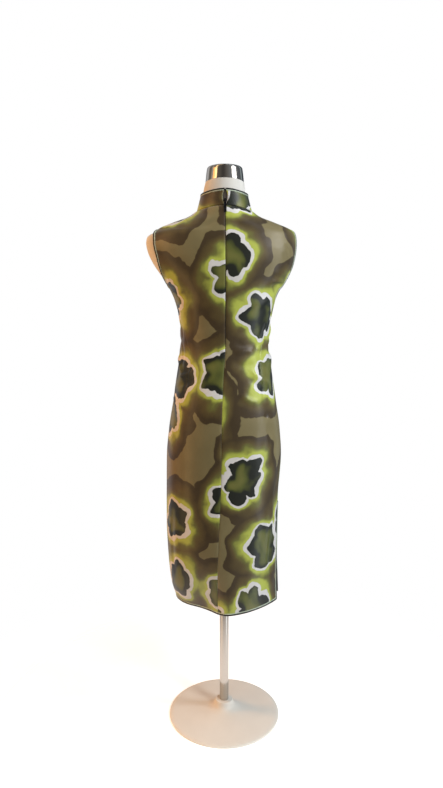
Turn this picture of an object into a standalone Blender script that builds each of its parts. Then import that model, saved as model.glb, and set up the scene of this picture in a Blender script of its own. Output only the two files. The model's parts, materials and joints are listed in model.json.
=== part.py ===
"""Sleeveless midi qipao with a back zip, on a limbless dress form.

Units are metres, +Z is up and the wearer faces -Y, so the zip is on the +Y side. The origin is
the middle of the stand's underside. Every cloth piece is a thin wall raised from one measured
body surface, so neighbouring pieces always meet along the same line, a seam gap apart.
"""
import math
from bisect import bisect_right
from collections import namedtuple

import bmesh
import bpy
from mathutils import Matrix, Vector

# ---------------------------------------------------------------- cloth and trim sizes
CLOTH = 0.0015              # panel wall: printed satin with its backing
SEAM_GAP = 0.0003           # between neighbouring pieces
FORM_CLEARANCE = 0.0030     # jersey of the form to the inside of the dress
BINDING_WIDTH = 0.0040      # dark satin binding on every free edge
PIPING_WIDTH = 0.0018       # pale satin piping inside the binding
BINDING_LIFT = -0.0004      # the binding wraps the edge, so it starts inside the cloth
BINDING_WALL = 0.0025
PIPING_WALL = 0.0020
TRIM_WIDTH = BINDING_WIDTH + PIPING_WIDTH + 2 * SEAM_GAP

# ---------------------------------------------------------------- heights of the dress
HEM_Z = 0.3405
SLIT_TOP_Z = 0.624
ZIP_END_Z = 1.035
UNDERARM_Z = 1.203
SHOULDER_TIP_Z = 1.342
FRONT_UNDERARM_Z = 1.150    # where the underarm's row crosses the centre front
FRONT_TIP_Z = 1.272         # where the shoulder tip's row crosses the centre front
BACK_TIP_Z = 1.336
SETTLE_ANGLE = 60.0         # from the centre line, where armhole rows reach their edge's height
STEP = 0.010                # half the height over which rows settle at the top of a slit

# Horizontal sections of the inside of the dress. right and left are the wearer's; shift is how
# far the skirt has slid round the hips towards the wearer's left.
Section = namedtuple("Section", "z right left back front power shift")
SECTIONS = [
    Section(0.340, 0.1600, 0.1270, 0.1130, 0.1030, 1.45, 0.0220),
    Section(0.400, 0.1495, 0.1445, 0.1140, 0.1030, 1.75, 0.0215),
    Section(0.470, 0.1440, 0.1520, 0.1145, 0.1030, 2.00, 0.0200),
    Section(0.560, 0.1435, 0.1560, 0.1150, 0.1035, 2.15, 0.0170),
    Section(0.650, 0.1450, 0.1555, 0.1170, 0.1050, 2.25, 0.0130),
    Section(0.760, 0.1515, 0.1535, 0.1190, 0.1070, 2.35, 0.0110),
    Section(0.830, 0.1470, 0.1470, 0.1180, 0.1070, 2.35, 0.0108),
    Section(0.900, 0.1370, 0.1360, 0.1110, 0.1040, 2.30, 0.0090),
    Section(0.970, 0.1262, 0.1252, 0.0990, 0.0990, 2.25, 0.0052),
    Section(1.010, 0.1210, 0.1190, 0.0910, 0.0960, 2.20, 0.0020),
    Section(1.056, 0.1150, 0.1150, 0.0860, 0.0940, 2.15, 0.0000),
    Section(1.090, 0.1180, 0.1155, 0.0870, 0.0950, 2.15, 0.0000),
    Section(1.130, 0.1245, 0.1200, 0.0910, 0.1000, 2.20, 0.0000),
    Section(1.165, 0.1325, 0.1290, 0.0950, 0.1060, 2.20, 0.0000),
    Section(1.185, 0.1400, 0.1370, 0.0970, 0.1085, 2.20, 0.0000),
    Section(1.205, 0.1525, 0.1485, 0.0990, 0.1090, 2.20, 0.0000),
    Section(1.230, 0.1670, 0.1690, 0.1010, 0.1070, 2.20, 0.0000),
    Section(1.260, 0.1795, 0.1892, 0.1010, 0.1020, 2.20, 0.0000),
    Section(1.290, 0.1855, 0.2025, 0.0990, 0.0940, 2.20, 0.0000),
    Section(1.312, 0.1870, 0.2065, 0.0950, 0.0850, 2.15, 0.0000),
    Section(1.327, 0.1855, 0.2040, 0.0915, 0.0780, 2.10, 0.0000),
    Section(1.336, 0.1825, 0.1940, 0.0885, 0.0725, 2.10, 0.0000),
    Section(1.342, 0.1780, 0.1785, 0.0860, 0.0690, 2.05, 0.0000),
    Section(1.350, 0.1640, 0.1650, 0.0825, 0.0655, 2.00, 0.0000),
    Section(1.357, 0.1460, 0.1480, 0.0790, 0.0630, 2.00, 0.0000),
    Section(1.365, 0.1245, 0.1255, 0.0755, 0.0610, 2.00, 0.0000),
    Section(1.3725, 0.1030, 0.1030, 0.0720, 0.0595, 2.00, 0.0000),
    Section(1.380, 0.0875, 0.0875, 0.0690, 0.0580, 2.00, 0.0000),
    Section(1.3875, 0.0775, 0.0775, 0.0665, 0.0570, 2.00, 0.0000),
    Section(1.3945, 0.0692, 0.0692, 0.0640, 0.0560, 2.00, 0.0000),
    Section(1.400, 0.0655, 0.0655, 0.0612, 0.0552, 2.00, 0.0000),
    Section(1.408, 0.0618, 0.0618, 0.0575, 0.0545, 2.00, 0.0000),
    Section(1.420, 0.0598, 0.0600, 0.0535, 0.0538, 2.00, 0.0000),
    Section(1.435, 0.0583, 0.0590, 0.0505, 0.0536, 2.00, 0.0000),
    Section(1.455, 0.0564, 0.0562, 0.0485, 0.0540, 2.00, 0.0000),
    Section(1.470, 0.0550, 0.0528, 0.0470, 0.0545, 2.00, 0.0000),
]

# Soft bust of a general figure, pushed out of the front sections.
BUST_APEX_X = 0.076
BUST_APEX_Z = 1.188
BUST_RISE = 0.016
BUST_SPREAD_X = 0.044
BUST_SPREAD_Z = 0.050

# Soft fall of the skirt, whose back sinks in between the centre and the left slit.
FALL_X = 0.052
FALL_DEPTH = 0.024
FALL_SPREAD_X = 0.046
FALL_SPREAD_Z = 0.110

# ---------------------------------------------------------------- armholes, in section angle and z
# bottom_power and top_power square up the lower and upper half of each oval.
Armhole = namedtuple("Armhole", "side back_angle front_angle bottom_power top_power")
ARMHOLES = {
    "left": Armhole(90.0, 31.0, 27.0, 1.7, 4.0),
    "right": Armhole(270.0, 11.0, 27.0, 1.8, 3.0),
}
ARMHOLE_WIDEST_Z = 1.285
ARMHOLE_STEPS = 24          # round the whole oval

# ---------------------------------------------------------------- slits
# How far each skirt edge has swung from the side seam's line at the hem, in section degrees.
SLIT_OPENING = {
    ("back", "left"): 0.0,
    ("back", "right"): -6.0,
    ("front", "left"): -10.0,
    ("front", "right"): 22.0,
}
SLIT_OPENING_POWER = 1.2
HEM_LIFT = {"left": 0.0125, "right": 0.0115}  # how much higher the hem hangs at each slit

# ---------------------------------------------------------------- collar
Ring = namedtuple("Ring", "half back front")
NECK_RING = Ring(0.0720, 0.0618, 0.0680)      # where the panels end
COLLAR_BASE = Ring(0.0701, 0.0600, 0.0662)    # inside of the collar at its seam
COLLAR_TOP = Ring(0.0588, 0.0512, 0.0590)     # inside of the collar at its top edge
COLLAR_RISE = 0.0436
COLLAR_WALL = 0.0016
COLLAR_LIFT = 0.0005                          # from the neckline up to the band
COLLAR_CORNER = 0.016                         # rounding of the two front corners
COLLAR_BACK_GAP = 0.0062                      # half the width of the lens-shaped back gap
COLLAR_CORNER_STEPS = 4
COLLAR_PLAIN_STEPS = 12
COLLAR_ROWS = 4

# ---------------------------------------------------------------- zip and hook
TAPE_HALF_WIDTH = 0.012
TAPE_WALL = 0.0006
TAPE_LIFT = -0.0014
SLIDER_HEIGHT = 0.0138      # middle of the slider, up the collar band
SLIDER_SIZE = Vector((0.0046, 0.0022, 0.0070))
EAR_SIZE = Vector((0.0010, 0.0052, 0.0030))
EAR_ROOT = 0.0006                             # the ears' depth inside the slider
PIN_PLACE = Vector((0.0, 0.0041, -0.0015))    # in the slider's own frame
PIN_RADIUS = 0.0007
PULL_LENGTH = 0.0330
PULL_WIDTH = 0.0060
PULL_WALL = 0.0010
PULL_TILT = math.radians(16.0)                # the pull leans against the upper back
HOOK_HALF_ANGLE = 4.0

# ---------------------------------------------------------------- dress form
FORM_BOTTOM_Z = 0.742
FORM_COLUMNS = 40
NECK_TOP_Z = 1.470          # back of the form's neck
NECK_TILT = math.radians(9.0)                 # the neck's flat top slants down to the front
NECK_TILT_START_Z = 1.400
CAP_PROFILE = [  # radius, height above the neck
    (0.0500, 0.0003), (0.0494, 0.0110), (0.0480, 0.0215), (0.0458, 0.0290),
    (0.0420, 0.0330), (0.0360, 0.0355), (0.0270, 0.0362),
]
CAP_X = -0.0010             # the cap sits a little to the wearer's right
CAP_DEPTH_RATIO = 0.96
POLE_RADIUS = 0.0125
BASE_PROFILE = [  # radius, height
    (0.1550, 0.0000), (0.1550, 0.0060), (0.1520, 0.0090), (0.0900, 0.0150),
    (0.0400, 0.0200), (0.0260, 0.0300), (0.0240, 0.0420), (0.0130, 0.0420),
]
TURN_STEPS = 40
PANEL_COLUMNS = 9           # from the centre line to the side


# ================================================================ small helpers
def monotone_slopes(xs, ys):
    """Slopes of a smooth curve through the points that never overshoots them."""
    secants = [(b - a) / (q - p) for p, q, a, b in zip(xs, xs[1:], ys, ys[1:])]
    slopes = [secants[0]]
    for before, after in zip(secants, secants[1:]):
        slopes.append(0.0 if before * after <= 0 else 2 * before * after / (before + after))
    slopes.append(secants[-1])
    return slopes


class Curve:
    """One column of the section table as a smooth function of z."""

    def __init__(self, xs, ys):
        self.xs = xs
        self.ys = ys
        self.slopes = monotone_slopes(xs, ys)

    def __call__(self, x):
        x = min(max(x, self.xs[0]), self.xs[-1])
        i = min(bisect_right(self.xs, x), len(self.xs) - 1) - 1
        span = self.xs[i + 1] - self.xs[i]
        t = (x - self.xs[i]) / span
        a = (1 + 2 * t) * (1 - t) ** 2 * self.ys[i] + t * t * (3 - 2 * t) * self.ys[i + 1]
        b = t * (1 - t) ** 2 * self.slopes[i] - t * t * (1 - t) * self.slopes[i + 1]
        return a + span * b


HEIGHTS = [row.z for row in SECTIONS]
COLUMN = {name: Curve(HEIGHTS, [getattr(row, name) for row in SECTIONS])
          for name in Section._fields[1:]}


def lerp(a, b, t):
    return a + (b - a) * t


def smooth(t):
    t = min(max(t, 0.0), 1.0)
    return t * t * (3 - 2 * t)


def spread(a, b, count):
    """count + 1 evenly spaced values from a to b."""
    return [lerp(a, b, i / count) for i in range(count + 1)]


def superellipse(angle, across, along, power):
    """Plan point at a section angle: 0 is the front, 90 the wearer's left, 180 the back."""
    turn = math.atan2(across * math.sin(angle), along * math.cos(angle))
    reach = (abs(math.sin(turn) / across) ** power
             + abs(math.cos(turn) / along) ** power) ** (-1 / power)
    return reach * math.sin(turn), -reach * math.cos(turn)


def bust(x, z, frontness):
    dx = (abs(x) - BUST_APEX_X) / BUST_SPREAD_X
    dz = (z - BUST_APEX_Z) / BUST_SPREAD_Z
    return BUST_RISE * frontness * math.exp(-dx * dx - dz * dz)


def fall(x, z, backness):
    dx = (x - FALL_X) / FALL_SPREAD_X
    dz = (z - HEM_Z) / FALL_SPREAD_Z
    return FALL_DEPTH * backness * math.exp(-dx * dx - dz * dz)


def body(degrees, z):
    """A point on the inside of the dress, at a section angle and a height."""
    angle = math.radians(degrees)
    across = COLUMN["left" if math.sin(angle) > 0 else "right"](z)
    along = COLUMN["front" if math.cos(angle) > 0 else "back"](z)
    x, y = superellipse(angle, across, along, COLUMN["power"](z))
    sunk = bust(x, z, smooth(2 * math.cos(angle))) + fall(x, z, smooth(-2 * math.cos(angle)))
    return Vector((x, y - sunk, z))


def tangents(surface, u, v, du=0.2, dv=0.0005):
    along_u = (surface(u + du, v) - surface(u - du, v)) / (2 * du)
    along_v = (surface(u, v + dv) - surface(u, v - dv)) / (2 * dv)
    return along_u, along_v


def outward(surface, u, v):
    along_u, along_v = tangents(surface, u, v)
    return along_u.cross(along_v).normalized()


def moved(surface, u, v, direction, distance):
    """The parameters of the surface point that lies a small distance off in a direction."""
    along_u, along_v = tangents(surface, u, v)
    uu, uv, vv = along_u.dot(along_u), along_u.dot(along_v), along_v.dot(along_v)
    pu, pv = along_u.dot(direction) * distance, along_v.dot(direction) * distance
    det = uu * vv - uv * uv
    return u + (pu * vv - pv * uv) / det, v + (pv * uu - pu * uv) / det


def degrees_for(z, degrees, distance):
    """The change in section angle that covers a distance round the body."""
    along_u, _ = tangents(body, degrees, z)
    return distance / along_u.length


# ================================================================ lines on the body
def centre_back(z):
    mean_half = (COLUMN["left"](z) + COLUMN["right"](z)) / 2
    return 180.0 - math.degrees(COLUMN["shift"](z) / mean_half)


def centre_front(z, side):
    mean_half = (COLUMN["left"](z) + COLUMN["right"](z)) / 2
    angle = math.degrees(COLUMN["shift"](z) / mean_half)
    return angle if side == "left" else 360.0 + angle


def side_line(z, side):
    mean_depth = (COLUMN["front"](z) + COLUMN["back"](z)) / 2
    return ARMHOLES[side].side - math.degrees(COLUMN["shift"](z) / mean_depth)


def slit_line(z, face, side):
    """Free edge of a skirt panel below the top of its slit."""
    drop = min(max((SLIT_TOP_Z - z) / (SLIT_TOP_Z - HEM_Z), 0.0), 1.0)
    return side_line(z, side) + SLIT_OPENING[face, side] * drop ** SLIT_OPENING_POWER


def hem_height(side, across, inset):
    """Height of the hem, a share of the way from the centre line to a slit."""
    return HEM_Z + HEM_LIFT[side] * across + inset


def inward_sign(face, side):
    """+1 where the section angle grows from the side line towards the panel's middle."""
    return 1.0 if (face, side) in {("back", "left"), ("front", "right")} else -1.0


def inset_angle(line, z, face, side, inset):
    degrees = line(z, face, side)
    return degrees + inward_sign(face, side) * degrees_for(z, degrees, inset)


def seam_angle(z, face, side):
    degrees = side_line(z, side)
    return degrees + inward_sign(face, side) * degrees_for(z, degrees, SEAM_GAP / 2)


def armhole_point(side, turn, inset):
    """Section angle and height on an armhole's oval, a distance outside its edge.

    turn is 0 at the underarm, 90 at the back, 180 at the shoulder and 270 at the front.
    """
    hole = ARMHOLES[side]
    backward = 1.0 if side == "left" else -1.0

    def edge(degrees):
        angle = math.radians(degrees)
        lower = math.cos(angle) > 0
        power = hole.bottom_power if lower else hole.top_power
        half = abs(ARMHOLE_WIDEST_Z - (UNDERARM_Z if lower else SHOULDER_TIP_Z))
        reach = (abs(math.sin(angle)) ** power + abs(math.cos(angle)) ** power) ** (-1 / power)
        swing = hole.back_angle if math.sin(angle) > 0 else hole.front_angle
        return (hole.side + backward * swing * reach * math.sin(angle),
                ARMHOLE_WIDEST_Z - half * reach * math.cos(angle))

    u, v = edge(turn)
    if inset == 0:
        return u, v
    ahead = body(*edge(turn + 1.0))
    behind = body(*edge(turn - 1.0))
    away = outward(body, u, v).cross((ahead - behind).normalized()) * -backward
    return moved(body, u, v, away, inset)


def height_on_body(x, y):
    """Height at which the body surface passes over a plan point near the neck."""
    low, high = 1.300, 1.420
    for _ in range(40):
        z = (low + high) / 2
        across = COLUMN["left" if x > 0 else "right"](z)
        along = COLUMN["front" if y < 0 else "back"](z)
        power = COLUMN["power"](z)
        if abs(x / across) ** power + abs(y / along) ** power > 1:
            high = z
        else:
            low = z
    return low


def ring_point(ring, degrees):
    angle = math.radians(degrees)
    along = ring.front if math.cos(angle) > 0 else ring.back
    return ring.half * math.sin(angle), -along * math.cos(angle)


def neckline(degrees):
    """Section angle and height where a panel ends under the collar."""
    x, y = ring_point(NECK_RING, degrees)
    z = height_on_body(x, y)
    across = COLUMN["left" if x > 0 else "right"](z)
    along = COLUMN["front" if y < 0 else "back"](z)
    angle = math.degrees(math.atan2(x / across, -y / along))
    return angle % 360.0 if degrees < 359.0 else 360.0 + math.remainder(angle, 360.0), z


# ================================================================ panels
# How a row's height settles from the centre line's to its edge's: evenly on the skirt, late along
# the side seam, and before it comes to the oval beside an armhole.
SETTLES = {
    "skirt": lambda across, swing: across,
    "seam": lambda across, swing: across * across,
    "armhole": lambda across, swing: smooth(swing / SETTLE_ANGLE),
}
PanelRow = namedtuple("PanelRow", "edge_angle edge_z centre_z settles")


def panel_edge(face, side):
    """Rows of a half panel, hem to shoulder tip."""
    slit_end = SLIT_TOP_Z + SEAM_GAP
    rows = []
    for edge_z, centre_z in zip(spread(hem_height(side, 1.0, TRIM_WIDTH), slit_end, 6),
                                spread(hem_height(side, 0.0, TRIM_WIDTH), SLIT_TOP_Z - STEP, 6)):
        edge_angle = inset_angle(slit_line, edge_z, face, side, TRIM_WIDTH)
        rows.append(PanelRow(edge_angle, edge_z, centre_z, "skirt"))

    underarm_z = armhole_point(side, 0.0, TRIM_WIDTH)[1]
    middle_z = underarm_z if face == "back" else FRONT_UNDERARM_Z
    seam_start = slit_end + SEAM_GAP
    for edge_z, centre_z in zip(spread(seam_start, underarm_z, 15),
                                spread(SLIT_TOP_Z + STEP, middle_z, 15)):
        rows.append(PanelRow(seam_angle(edge_z, face, side), edge_z, centre_z, "seam"))

    tip_centre_z = BACK_TIP_Z if face == "back" else FRONT_TIP_Z
    half_steps = ARMHOLE_STEPS // 2
    centre_heights = spread(middle_z, tip_centre_z, half_steps)
    for i in range(1, half_steps + 1):
        turn = 180.0 * i / half_steps
        degrees, edge_z = armhole_point(side, turn if face == "back" else 360.0 - turn, TRIM_WIDTH)
        if i == half_steps:
            degrees = seam_angle(edge_z, face, side)
        rows.append(PanelRow(degrees, edge_z, centre_heights[i], "armhole"))
    return rows


def half_panel(face, side, centre_line):
    """Grid of (angle, z) from the centre line out to the side, hem row first."""
    grid = []
    for edge_angle, edge_z, centre_z, settles in panel_edge(face, side):
        row = []
        for column in range(PANEL_COLUMNS + 1):
            across = column / PANEL_COLUMNS
            swing = abs(edge_angle - centre_line(centre_z)) * across
            z = lerp(centre_z, edge_z, SETTLES[settles](across, swing))
            row.append((lerp(centre_line(z), edge_angle, across), z))
        grid.append(row)

    # Above the shoulder tip the rows close up on the neckline.
    tip_row = grid[-1]
    tip_z = tip_row[-1][1]
    centre_angle = {"back": 180.0, "front": 0.0 if side == "left" else 360.0}[face]
    side_angle = ARMHOLES[side].side
    neck_row = []
    for column in range(PANEL_COLUMNS + 1):
        across = column / PANEL_COLUMNS
        degrees, z = neckline(lerp(centre_angle, side_angle, across))
        if column == 0:
            degrees = centre_line(z)
        if column == PANEL_COLUMNS:
            degrees = seam_angle(z, face, side)
        neck_row.append((degrees, z))
    shoulder_steps = 6
    for i in range(1, shoulder_steps + 1):
        rise = i / shoulder_steps
        row = []
        for (low_angle, low_z), (high_angle, high_z) in zip(tip_row, neck_row):
            row.append((lerp(low_angle, high_angle, rise), lerp(low_z, high_z, rise)))
        edge_z = row[-1][1]
        row[-1] = (seam_angle(edge_z, face, side), edge_z)
        row[0] = (centre_line(row[0][1]), row[0][1])
        grid.append(row)
    assert tip_z > SHOULDER_TIP_Z
    return grid


def zip_half_gap(z):
    """Half the gap between the two backs: a closed seam, then the zip's narrow groove."""
    if z < ZIP_END_Z:
        return SEAM_GAP / 2
    groove = lerp(0.0005, 0.0009, smooth((z - ZIP_END_Z) / 0.05))
    return groove + 0.0008 * smooth((z - 1.370) / 0.020)


def centre_back_edge(side):
    sign = -1.0 if side == "left" else 1.0

    def line(z):
        degrees = centre_back(z)
        return degrees + sign * degrees_for(z, degrees, zip_half_gap(z))

    return line


# ================================================================ trims along the edges
def skirt_edge(face, inset):
    """Points round a skirt panel's free edge: down the left slit, along the hem, up the right."""
    slits = {}
    for side in ("left", "right"):
        heights = spread(hem_height(side, 1.0, inset), SLIT_TOP_Z, 6)
        slits[side] = [(inset_angle(slit_line, z, face, side, inset), z) for z in heights]
    if face == "front":
        slits["left"] = [(degrees + 360.0, z) for degrees, z in slits["left"]]
    lowest = hem_height("left", 0.0, inset)
    centre = centre_back(lowest) if face == "back" else centre_front(lowest, "right")
    halves = {}
    for side in ("left", "right"):
        corner = slits[side][0][0]
        halves[side] = [(lerp(centre, corner, across), hem_height(side, across, inset))
                        for across in spread(0.0, 1.0, PANEL_COLUMNS)]
    return (slits["left"][::-1] + halves["left"][-2::-1]
            + halves["right"][1:-1] + slits["right"])


def armhole_ring(side, inset):
    return [armhole_point(side, 360.0 * i / ARMHOLE_STEPS, inset) for i in range(ARMHOLE_STEPS + 1)]


# ================================================================ collar
def collar(degrees, height):
    """A point on the inside of the collar band: section angle, height up the band."""
    rise = height / COLLAR_RISE
    x0, y0 = ring_point(COLLAR_BASE, degrees)
    x1, y1 = ring_point(COLLAR_TOP, degrees)
    base_z = height_on_body(*ring_point(NECK_RING, degrees)) + COLLAR_LIFT
    return Vector((lerp(x0, x1, rise), lerp(y0, y1, rise), base_z + height))


def collar_degrees(height, degrees, distance):
    along_u, _ = tangents(collar, degrees, height)
    return distance / along_u.length


def collar_columns(side, inset):
    """(angle, top height) of each column of a collar half, centre back to centre front."""
    sign = -1.0 if side == "left" else 1.0
    front_angle = 180.0 + sign * 180.0
    radius = COLLAR_CORNER - inset
    corner = []
    for alpha in spread(0.0, math.pi / 2, COLLAR_CORNER_STEPS):
        across = COLLAR_CORNER - radius * math.cos(alpha) + SEAM_GAP
        top = COLLAR_RISE - COLLAR_CORNER + radius * math.sin(alpha)
        corner.append((front_angle - sign * collar_degrees(top, front_angle, across), top))
    corner.reverse()
    plain = []
    for degrees in spread(180.0, corner[0][0], COLLAR_PLAIN_STEPS)[:-1]:
        plain.append((degrees, COLLAR_RISE - inset))
    return plain + corner


def collar_back_edge(side, height):
    """The two ends of the collar bow apart between the hook and the zip."""
    sign = -1.0 if side == "left" else 1.0
    share = min(max(height / COLLAR_RISE, 0.0), 1.0)
    half_gap = 0.0009 + (COLLAR_BACK_GAP - 0.0009) * math.sin(math.pi * share) ** 1.2
    return 180.0 + sign * collar_degrees(height, 180.0, half_gap)


def collar_band(side):
    grid = []
    columns = collar_columns(side, TRIM_WIDTH)
    for row in range(COLLAR_ROWS + 1):
        share = row / COLLAR_ROWS
        points = []
        for index, (degrees, top) in enumerate(columns):
            height = top * share
            if index == 0:
                degrees = collar_back_edge(side, height)
            elif index == 1:
                degrees = lerp(collar_back_edge(side, height), columns[2][0], 0.5)
            points.append((degrees, height))
        grid.append(points)
    return grid


def collar_edge(side, inset):
    """Points along the collar's free edge: centre back, top, front corner, down to the seam."""
    columns = collar_columns(side, inset)
    points = [(collar_back_edge(side, columns[0][1]), columns[0][1])]
    points.append((lerp(points[0][0], columns[2][0], 0.5), columns[1][1]))
    points += columns[2:]
    last_angle, last_height = columns[-1]
    for height in spread(last_height, 0.0, COLLAR_ROWS)[1:]:
        points.append((last_angle, height))
    return points


# ================================================================ mesh building
def clear_scene():
    for thing in list(bpy.data.objects):
        bpy.data.objects.remove(thing, do_unlink=True)


def material(name, colour, roughness, metallic=0.0):
    made = bpy.data.materials.new(name)
    made.use_nodes = True
    shader = made.node_tree.nodes["Principled BSDF"]
    shader.inputs["Base Color"].default_value = (*colour, 1.0)
    shader.inputs["Roughness"].default_value = roughness
    shader.inputs["Metallic"].default_value = metallic
    return made


def add_object(name, bm, finish, smooth_angle=40.0):
    if bm.calc_volume(signed=True) < 0:
        bmesh.ops.reverse_faces(bm, faces=bm.faces[:])
    mesh = bpy.data.meshes.new(name)
    bm.to_mesh(mesh)
    bm.free()
    mesh.shade_smooth()
    mesh.set_sharp_from_angle(angle=math.radians(smooth_angle))
    mesh.materials.append(finish)
    thing = bpy.data.objects.new(name, mesh)
    bpy.context.collection.objects.link(thing)
    return thing


def add_wall(name, surface, grid, lift, wall, finish):
    """A closed wall standing on a surface: a grid laid on it, then extruded outwards.

    A grid whose last row repeats its first, such as an armhole's, is joined into a ring.
    """
    rows, columns = len(grid), len(grid[0])
    bm = bmesh.new()
    bmesh.ops.create_grid(bm, x_segments=columns - 1, y_segments=rows - 1, size=1.0)
    thickness = bm.verts.layers.float_vector.new("thickness")
    for vert in bm.verts:
        column = round((vert.co.x + 1) / 2 * (columns - 1))
        row = round((vert.co.y + 1) / 2 * (rows - 1))
        u, v = grid[row][column]
        normal = outward(surface, u, v)
        vert.co = surface(u, v) + normal * lift
        vert[thickness] = normal * wall
    bmesh.ops.remove_doubles(bm, verts=bm.verts[:], dist=0.00001)
    raised = bmesh.ops.extrude_face_region(bm, geom=bm.faces[:], use_keep_orig=True)
    for vert in (item for item in raised["geom"] if isinstance(item, bmesh.types.BMVert)):
        vert.co += Vector(vert[thickness])
    bmesh.ops.recalc_face_normals(bm, faces=bm.faces[:])
    return add_object(name, bm, finish)


def strip(near, far):
    """A two-column grid between two lines of matching points."""
    return [[a, b] for a, b in zip(near, far)]


def add_trims(name, surface, line, finishes):
    """Binding on the very edge, and the piping beside it. line(inset) gives the points."""
    piping_start = BINDING_WIDTH + SEAM_GAP
    add_wall(f"{name}_binding", surface, strip(line(0.0), line(BINDING_WIDTH)),
             BINDING_LIFT, BINDING_WALL, finishes["binding"])
    add_wall(f"{name}_piping", surface, strip(line(piping_start), line(piping_start + PIPING_WIDTH)),
             0.0, PIPING_WALL, finishes["piping"])


def turned(name, profile, finish, place=Matrix.Identity(4)):
    """A closed solid turned from radius and height pairs round the Z axis of its place."""
    bm = bmesh.new()
    outline = [(0.0, profile[0][1])] + profile + [(0.0, profile[-1][1])]
    verts = [bm.verts.new((radius, 0.0, height)) for radius, height in outline]
    edges = [bm.edges.new(pair) for pair in zip(verts, verts[1:])]
    bmesh.ops.spin(bm, geom=verts + edges, axis=(0, 0, 1), cent=(0, 0, 0),
                   angle=math.tau, steps=TURN_STEPS, use_merge=True)
    bmesh.ops.remove_doubles(bm, verts=bm.verts[:], dist=0.00001)
    bmesh.ops.transform(bm, verts=bm.verts[:], matrix=place)
    bmesh.ops.recalc_face_normals(bm, faces=bm.faces[:])
    return add_object(name, bm, finish)


# ================================================================ the pieces
def add_panels(print_satin):
    for side in ("left", "right"):
        grid = half_panel("back", side, centre_back_edge(side))
        add_wall(f"back_{side}", body, grid, 0.0, CLOTH, print_satin)
    left = half_panel("front", "left", lambda z: centre_front(z, "left"))
    right = half_panel("front", "right", lambda z: centre_front(z, "right"))
    whole = []
    for left_row, right_row in zip(left, right):
        turned_row = [(degrees + 360.0, z) for degrees, z in reversed(left_row)]
        whole.append(turned_row + right_row[1:])
    add_wall("front", body, whole, 0.0, CLOTH, print_satin)


def add_collar(print_satin, finishes):
    for side in ("left", "right"):
        add_wall(f"collar_{side}", collar, collar_band(side), 0.0, COLLAR_WALL, print_satin)
        add_trims(f"collar_{side}", collar, lambda inset: collar_edge(side, inset), finishes)


def add_edges(finishes):
    for side in ("left", "right"):
        add_trims(f"armhole_{side}", body, lambda inset: armhole_ring(side, inset), finishes)
    for face in ("back", "front"):
        add_trims(f"hem_{face}", body, lambda inset: skirt_edge(face, inset), finishes)


def add_zip(tape_finish, metal_finish):
    neck_z = neckline(180.0)[1]
    grid = []
    for z in spread(ZIP_END_Z - 0.012, neck_z, 20):
        middle = centre_back(z)
        reach = degrees_for(z, middle, TAPE_HALF_WIDTH)
        grid.append([(middle + reach * share, z) for share in (-1.0, 0.0, 1.0)])
    add_wall("zip_tape", body, grid, TAPE_LIFT, TAPE_WALL, tape_finish)

    grid = []
    for height in spread(0.0, COLLAR_RISE - 0.0075, 5):
        reach = collar_degrees(height, 180.0, TAPE_HALF_WIDTH)
        grid.append([(180.0 + reach * share, height) for share in (-1.0, -0.5, 0.0, 0.5, 1.0)])
    add_wall("collar_underlap", collar, grid, TAPE_LIFT, TAPE_WALL, tape_finish)

    grid = []
    for height in (COLLAR_RISE - 0.0055, COLLAR_RISE - 0.0028):
        grid.append([(180.0 + degrees, height) for degrees in (-HOOK_HALF_ANGLE, 0.0, HOOK_HALF_ANGLE)])
    add_wall("collar_hook", collar, grid, TAPE_LIFT, TAPE_WALL, metal_finish)
    add_slider(metal_finish)


def slider_frame():
    """The slider's own frame on the underlap: X across, Y off the collar, Z up the zip."""
    off = outward(collar, 180.0, SLIDER_HEIGHT)
    seat = collar(180.0, SLIDER_HEIGHT) + off * (TAPE_LIFT + TAPE_WALL + SEAM_GAP + SLIDER_SIZE.y / 2)
    off.x = 0.0
    off.normalize()
    seat.x = 0.0
    across = Vector((1.0, 0.0, 0.0))
    frame = Matrix((across, off, across.cross(off))).transposed().to_4x4()
    frame.translation = seat
    return frame


def add_block(name, frame, size, centre, finish):
    bm = bmesh.new()
    bmesh.ops.create_cube(bm, size=1.0,
                          matrix=frame @ Matrix.Translation(centre) @ Matrix.Diagonal((*size, 1.0)))
    return add_object(name, bm, finish)


def join_to(thing, tool, name):
    """Union a helper solid into a piece; the helper itself stays out of the model."""
    tool.hide_render = True
    tool.display_type = "WIRE"
    union = thing.modifiers.new(name, "BOOLEAN")
    union.operation = "UNION"
    union.object = tool


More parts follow.
